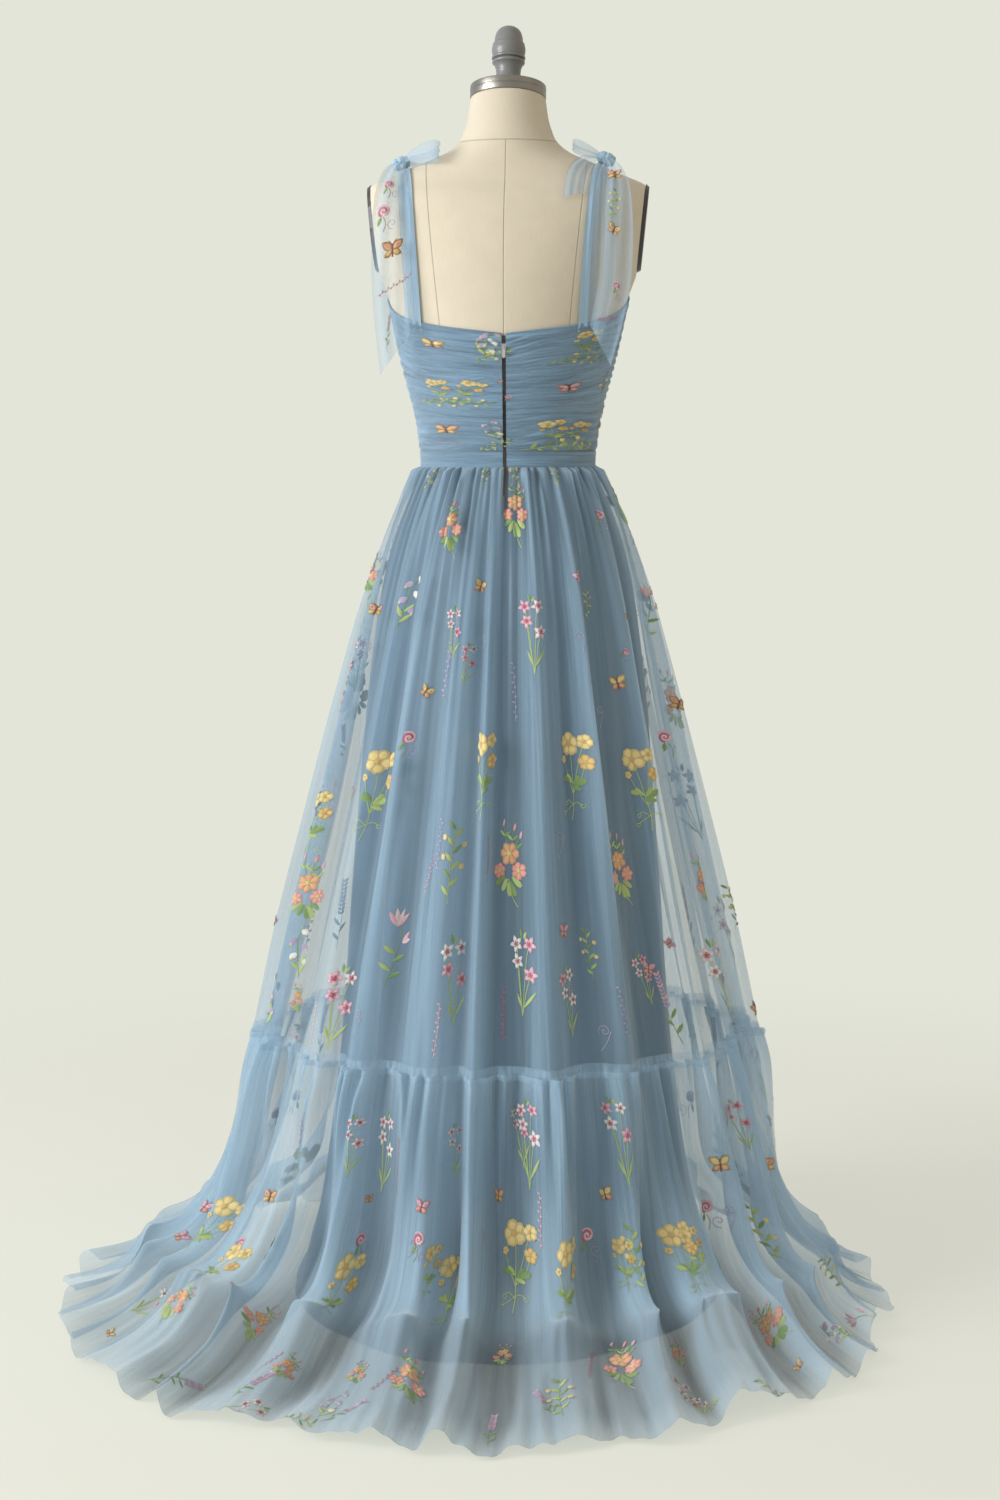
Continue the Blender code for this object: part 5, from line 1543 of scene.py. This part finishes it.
def bell_sprig(m):
    m.stem([(6, 36), (-2, 14), (0, -34)], "green")
    for k, y in enumerate((30, 20, 10, 0, -10)):
        side = -1 if k % 2 else 1
        m.leaf(side * 3, y, side * 130, 10, 8, m.pick.choice(["lilac", "white", "lilac"]))
        m.dot(side * 9, y - 7, 1.6, "yellow")
    for y, side in ((-16, 1), (-22, -1), (-28, 1)):
        m.leaf(0, y, side * 40, 15, 4.5, "lime")


def lily_sprig(m):
    m.stem([(-4, 30), (2, 4), (0, -44)], "green")
    for angle in (-40, -14, 12, 38):
        m.leaf(-4, 20, angle, 18, 5, "blush" if abs(angle) < 20 else "pink")
    m.leaf(6, 4, 30, 15, 5, "pink")
    m.leaf(6, 4, 62, 12, 4.5, "blush")
    for y, side in ((-8, -1), (-16, 1), (-26, -1), (-34, 1)):
        m.leaf(0, y, side * 58, 15, 4.5, m.pick.choice(LEAVES[::-1]))


def dotted_spike(m):
    thread = m.pick.choice(["lilac", "pink", "berry"])
    for k, y in enumerate(np.linspace(32, -32, 12)):
        side = 1 if k % 2 else -1
        m.leaf(0, y, side * 65, 4.2, 2.4, thread)
    m.stem([(0, 34), (1.5, 0), (0, -36)], thread, 0.8)


def lavender(m):
    m.stem([(3, 42), (-2, 0), (1, -42)], "green")
    for k, y in enumerate(np.linspace(40, 2, 9)):
        for side in (-1, 1):
            m.leaf(0, y, side * 48, 6.5, 3.6, "lilac" if k % 3 else "pink")
    for y, side in ((-12, 1), (-20, -1), (-30, 1)):
        m.leaf(0, y, side * 40, 14, 4, "green")


def tendril(m):
    m.curl(0, 6, 8, 1.6, "lilac", 0.9)
    m.stem([(8, 6), (2, -8), (-6, -20)], "lilac", 0.9)


MOTIFS = {
    "golden": golden_sprig, "stars": star_spray, "coral": coral_posy, "leafy": leafy_spray,
    "bud": rose_bud, "butterfly": butterfly, "bell": bell_sprig, "lily": lily_sprig,
    "spike": dotted_spike, "lavender": lavender, "tendril": tendril,
}
SMALL_MOTIFS = ("butterfly", "bud", "tendril")
SPRIG_SIZE = 1.22
MILLIMETRE = 0.001


def stretch_of(surface, row, column, axis, reach):
    """Metres of cloth for one unit of a surface's row or column, round each of many places."""

    def along(offset):
        if axis == 0:
            return surface(np.clip(row + offset, 0, 1), column)
        return surface(row, column + offset)

    small = 0.002
    rough = np.linalg.norm(along(small) - along(-small), axis=-1) / (2 * small)
    window = reach / np.maximum(rough, 1e-6)
    points = np.stack([along(m * window) for m in np.linspace(-1, 1, 17)])
    return np.linalg.norm(np.diff(points, axis=0), axis=-1).sum(axis=0) / (2 * window)


def stitches(motif, size, lift):
    """For each band of a motif: its points across and up, heights, threads and UVs, 3 to a row."""
    for line, half, colour, over in motif.bands:
        step = np.gradient(line, axis=0)
        step /= np.maximum(np.linalg.norm(step, axis=1), 1e-9)[:, None]
        out = np.stack([step[:, 1], -step[:, 0]], axis=-1) * half[:, None]
        places = np.stack([line - out, line, line + out], axis=1) * MILLIMETRE * size
        bulge = np.minimum(half, 2.0)[:, None] * 0.0004 * np.array((0.0, 1.0, 0.0))
        steps = np.linalg.norm(np.diff(line, axis=0), axis=1)
        far = np.concatenate(([0], np.cumsum(steps))) * MILLIMETRE
        sides = np.array((-1.0, 0.0, 1.0)) * half[:, None] * MILLIMETRE
        uv = np.stack(np.broadcast_arrays(sides, far[:, None]), axis=-1)
        yield places, lift + bulge * size + 0.0004 * over, np.tile(colour, (uv.size // 2, 1)), uv


def sew(name, surface, spots, slot, up=-1, squash=1.0, lift=0.0007):
    """Stitches motifs on a surface; each spot is (motif, row, column, size, lean in degrees)."""
    rows, columns = (np.array([spot[i] for spot in spots]) for i in (1, 2))
    by_row = stretch_of(surface, rows, columns, 0, 0.03)
    by_column = stretch_of(surface, rows, columns, 1, 0.02)
    at_row, at_column, heights, threads, uvs, quads = [], [], [], [], [], []
    count = 0
    for k, (kind, row, column, size, lean) in enumerate(spots):
        motif = Motif(17 * k + len(name))
        MOTIFS[kind](motif)
        size = size * (1.0 if kind in SMALL_MOTIFS else SPRIG_SIZE)
        sine, cosine = math.sin(math.radians(lean)), math.cos(math.radians(lean))
        for places, height, thread, uv in stitches(motif, size, lift):
            x, y = places[..., 0], places[..., 1]
            at_row.append(row + up * squash * (y * cosine - x * sine).ravel() / by_row[k])
            at_column.append(column + (x * cosine + y * sine).ravel() / by_column[k])
            heights.append(height.ravel())
            threads.append(thread)
            uvs.append(uv.reshape(-1, 2))
            quads.append(quads_of(count + np.arange(x.size).reshape(-1, 3)))
            count += x.size
    row, column = np.clip(np.concatenate(at_row), 0.002, 0.998), np.concatenate(at_column)
    down = surface(np.clip(row + 0.002, 0, 1), column) - surface(np.clip(row - 0.002, 0, 1), column)
    along = surface(row, column + 0.0005) - surface(row, column - 0.0005)
    normal = unit(np.cross(down, along)) * -up
    points = surface(row, column) + np.concatenate(heights)[:, None] * normal
    points[:, 2] = np.maximum(points[:, 2], FLOOR_CLEAR + 0.0005)
    parts = (np.concatenate(part) for part in (quads, uvs))
    mesh = quad_mesh(points, *parts, {}, np.concatenate(threads))
    return finish_object(name, mesh, thread_material("embroidery thread"), slot)


# Where motifs lie on the back, as pixels read off the 1000 x 1500 photograph, with each
# motif's size and its lean in degrees
SKIRT_SPOTS = """
    coral 515 508 .8 4; coral 450 524 .75 -6; bud 598 515 .8 20; butterfly 480 587 1 20;
    butterfly 577 578 .9 -15; butterfly 375 610 .9 10; bell 410 600 .9 12; stars 530 635 .95 2;
    lily 648 610 .8 18; tendril 362 650 .9 10; spike 447 668 .9 4; spike 515 690 .9 -4;
    butterfly 617 683 1.1 -10; butterfly 425 692 .9 30; butterfly 680 705 1 20; bud 408 738 .95 15;
    bud 665 738 .95 -10; tendril 600 715 .9 0; golden 377 797 1 4; golden 485 778 .95 -2;
    golden 574 776 .95 2; golden 648 790 .9 -6; golden 312 828 .8 -8; spike 440 845 .8 2;
    coral 510 862 1 2; coral 308 890 .9 -6; leafy 450 862 .95 4; leafy 742 905 .6 -16;
    coral 618 868 .9 -4; tendril 560 842 1 0; butterfly 563 933 1 10; lily 395 945 1 8;
    bell 300 952 .8 -10; stars 335 1008 .95 6; stars 452 985 1 0; stars 520 975 .95 4;
    stars 568 1003 .8 -4; stars 722 985 1 -8; butterfly 648 968 .9 15; spike 435 1030 .8 4;
    spike 312 1032 .8 -4; bell 272 1000 .9 -14; leafy 430 480 .4 30; leafy 485 478 .3 0;
    leafy 556 476 .3 10; leafy 516 478 .4 -20; coral 368 572 .6 -15; leafy 587 604 .4 6;
    stars 453 632 .65 0; stars 466 664 .5 8; tendril 485 641 .8 20; tendril 580 640 .8 -20;
    stars 358 664 .7 12; butterfly 627 618 .6 0; bud 625 652 .5 40; spike 487 856 .6 0;
    spike 430 872 .6 12; spike 611 862 .6 18; leafy 590 956 .6 -6; butterfly 667 944 .6 60;
    stars 642 980 .6 -8; tendril 358 1018 .9 -10; tendril 568 992 .9 10; coral 299 1000 .4 -12;
    spike 503 1012 .8 0; spike 623 1012 .8 -8; coral 706 880 .7 -10; butterfly 262 920 .7 -40;
    lavender 345 742 .5 14; lavender 668 1010 .9 -12; tendril 605 1035 1 0; butterfly 757 1010 .9 -20"""
FLOUNCE_SPOTS = """
    stars 525 1140 1 0; stars 620 1138 1 -6; butterfly 722 1165 1.2 -6; butterfly 770 1165 1 10;
    stars 385 1150 .9 6; lavender 300 1150 .9 -8; butterfly 270 1196 1 0; butterfly 422 1207 1 10;
    butterfly 500 1197 1 4; butterfly 606 1195 1 -14; butterfly 204 1208 1 10; butterfly 180 1235 .9 40;
    bud 420 1240 1 10; bud 360 1240 1 -10; bud 585 1235 1 5; bud 705 1207 1 -8; tendril 480 1240 1 4;
    bud 240 1243 .9 12; golden 334 1300 1 6; golden 452 1296 1 -4; golden 520 1270 1 2;
    golden 566 1292 .95 6; golden 688 1265 .9 -10; leafy 635 1262 .8 -4; coral 620 1366 1 4;
    coral 410 1376 1 -4; coral 772 1325 1 -12; lavender 250 1385 .9 20; lavender 172 1378 .9 30;
    bell 835 1335 .9 -24; lily 870 1318 .8 -30; lavender 492 1432 .9 4; bell 330 1405 .9 8;
    stars 155 1300 .9 24; butterfly 110 1335 .9 20; leafy 560 1400 .9 0; stars 690 1400 .9 -10;
    coral 255 1318 .8 10; leafy 830 1270 .8 -20; spike 230 1290 .9 14; butterfly 800 1365 .9 -10;
    spike 540 1220 .8 0; stars 348 1145 .7 4; spike 298 1150 .9 10; spike 398 1165 .8 6;
    stars 452 1150 .6 2; butterfly 366 1198 .6 0; golden 205 1232 .8 24; golden 215 1270 .7 10;
    golden 270 1262 .6 8; golden 430 1275 .6 4; tendril 292 1240 .9 0; tendril 412 1248 .9 20;
    coral 180 1300 .8 20; spike 268 1362 .6 30; spike 385 1380 .7 24; coral 290 1368 .6 14;
    coral 356 1372 .5 6; lavender 185 1382 .8 34; stars 232 1418 .6 60; lavender 345 1412 .7 40;
    leafy 290 1428 .6 70; stars 520 1135 .7 -8; spike 717 1130 .7 4; stars 735 1125 .6 -6;
    spike 776 1120 .8 -10; golden 625 1270 .6 0; golden 700 1255 .6 -14; leafy 765 1235 .8 -10;
    coral 676 1355 .6 -4; spike 592 1365 .7 8; spike 758 1322 .7 0; lavender 548 1405 .7 -20;
    leafy 775 1412 .5 -60; stars 702 1410 .7 -40; bell 835 1330 .6 -30; tendril 730 1215 .9 -10;
    coral 505 1355 .5 2"""
BODICE_SPOTS = """
    butterfly 433 344 1.7 0; spike 440 357 .5 100; bell 488 345 1 10; leafy 492 356 .7 40;
    golden 586 345 .8 6; leafy 574 358 .8 70; golden 440 392 .7 -8; golden 466 392 .7 20;
    leafy 440 402 .8 80; leafy 465 402 .7 95; leafy 584 360 .6 100; bell 484 340 .7 30;
    butterfly 569 388 1.7 0; spike 568 403 .5 85; bud 508 397 .6 0; butterfly 446 430 1.7 0;
    spike 449 443 .5 95; bell 493 430 .9 -10; golden 556 434 .75 -10; golden 575 433 .65 20;
    leafy 558 447 .9 85; leafy 578 448 .6 100; leafy 494 446 .5 60; bell 603 383 .9 0;
    butterfly 604 425 1.1 0; bud 500 381 .5 20"""
# Where they lie on the bows' tails, as shares of the length and of the width from the middle
TAIL_SPOTS = {
    "tail_left": """bud .22 -.1 .8 0; bud .36 -.2 1 0; butterfly .54 .05 1.3 0; spike .7 .1 .6 85;
        lavender .88 -.15 .4 15""",
    "tail_right": """butterfly .18 0 1 0; leafy .36 -.1 .45 10; butterfly .48 -.1 .8 20; bud .72 .1 .6 0;
        spike .88 0 .5 50""",
}
PHOTO_HALF = (500, 750)
PIXELS_A_UNIT = CAMERA["lens"] / 36.0 * 1500


def spots_of(text):
    """Spots from a table of motif, place, size and lean, its rows parted by semicolons."""
    return [(kind, *map(float, numbers)) for kind, *numbers in map(str.split, text.split(";"))]


def sight_line(photo_x, photo_y):
    """Direction in which the camera sees a pixel."""
    pitch, turn = math.radians(CAMERA["pitch"]), math.radians(CAMERA["turn"])
    level = math.cos(pitch)
    ahead = np.array((-math.sin(turn) * level, math.cos(turn) * level, -math.sin(pitch)))
    right = np.array((math.cos(turn), math.sin(turn), 0))
    across, up = photo_x - PHOTO_HALF[0], PHOTO_HALF[1] - photo_y
    return ahead + (right * across + np.cross(right, ahead) * up) / PIXELS_A_UNIT


def seen_spots(surface, text):
    """Rows and columns of a surface's back where the camera sees the spots' pixels."""
    row, column = np.meshgrid(np.linspace(0.01, 0.99, 241), np.linspace(-0.25, 0.25, 241), indexing="ij")
    from_eye = surface(row, column) - np.array(CAMERA["place"])
    found = []
    for kind, photo_x, photo_y, size, lean in spots_of(text):
        way = sight_line(photo_x, photo_y)
        along = from_eye @ way / (way @ way)
        miss = np.linalg.norm(from_eye - along[..., None] * way, axis=-1)
        best = np.unravel_index(np.argmin(miss + 0.02 * along), miss.shape)
        found.append((kind, float(row[best]), float(column[best]), size, lean))
    return found


def hidden_spots(kinds, rows, step, seed):
    """The rows go on round the front, with the same motifs at even steps moved a little."""
    pick = np.random.default_rng(seed)
    spots = []
    for k, (row, wanted) in enumerate(zip(rows, kinds.split(";"))):
        wanted = wanted.split()
        for j, turn in enumerate(np.arange(0.285 + 0.3 * step * (k % 2), 0.725, step)):
            place = row + pick.uniform(-0.012, 0.012), turn + pick.uniform(-0.006, 0.006)
            looks = pick.uniform(0.85, 1.05), pick.uniform(-10, 10)
            spots.append((wanted[j % len(wanted)], *place, *looks))
    return spots


class GOWN_OT_embroidery(Operator):
    """Flowers, sprigs and butterflies in satin stitch."""

    bl_idname = "gown.embroidery"
    bl_label = "Embroidery"

    def execute(self, context):
        ruching = settings("gown_cloth").ruching

        def bodice(row, column):
            return ruched_point(column, row, ruching)

        kinds = """coral lily bud; butterfly bell stars tendril; spike butterfly; bud golden golden;
            coral leafy; stars lily stars butterfly; stars lavender spike"""
        hidden = hidden_spots(kinds, (0.08, 0.20, 0.31, 0.43, 0.58, 0.73, 0.88), 0.052, 3)
        sew("skirt_embroidery", TIER_CLOTH, seen_spots(TIER_CLOTH, SKIRT_SPOTS) + hidden, "tulle")
        kinds = "stars lavender stars lily; butterfly bud bud butterfly; golden coral leafy"
        hidden = hidden_spots(kinds, (0.16, 0.34, 0.55), 0.040, 4)
        sew("flounce_embroidery", FLOUNCE_CLOTH, seen_spots(FLOUNCE_CLOTH, FLOUNCE_SPOTS) + hidden, "tulle")
        hidden = hidden_spots("golden butterfly; bell coral; butterfly leafy", (0.18, 0.48, 0.78), 0.075, 5)
        spots = seen_spots(bodice, BODICE_SPOTS) + hidden
        sew("bodice_embroidery", bodice, spots, "ruched_tulle", 1, 0.38, 0.0005)
        for name, text in TAIL_SPOTS.items():
            sew(f"{name}_embroidery", bow_end(name), spots_of(text), "strap_tulle", lift=0.0006)
        return {"FINISHED"}


# ---- Running the whole build

OPERATORS = (
    GOWN_OT_stage, GOWN_OT_form, GOWN_OT_lining, GOWN_OT_skirt, GOWN_OT_flounce, GOWN_OT_seam,
    GOWN_OT_bodice, GOWN_OT_zip, GOWN_OT_straps, GOWN_OT_bows, GOWN_OT_embroidery,
)
GROUPS = {"gown_cloth": GownCloth, "gown_form": GownForm, "gown_stage": GownStage}


class GOWN_PT_panel(Panel):
    """Lists the gown's pieces in the sidebar."""

    bl_label = "Gown"
    bl_idname = "GOWN_PT_panel"
    bl_space_type = "VIEW_3D"
    bl_region_type = "UI"
    bl_category = "Gown"

    def draw(self, context):
        for operator in OPERATORS:
            self.layout.operator(operator.bl_idname)


def register():
    for name, group in GROUPS.items():
        bpy.utils.register_class(group)
        setattr(bpy.types.Scene, name, PointerProperty(type=group))
    for operator in (*OPERATORS, GOWN_PT_panel):
        bpy.utils.register_class(operator)


def unregister():
    for operator in (GOWN_PT_panel, *reversed(OPERATORS)):
        bpy.utils.unregister_class(operator)
    for name, group in GROUPS.items():
        delattr(bpy.types.Scene, name)
        bpy.utils.unregister_class(group)


def main():
    register()
    for operator in OPERATORS:
        group, name = operator.bl_idname.split(".")
        getattr(getattr(bpy.ops, group), name)()
    boxes = {"cad": CAD_BOX, "visual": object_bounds()}
    {key: [list(corner) for corner in box] for key, box in boxes.items()}


if __name__ == "__main__":
    main()
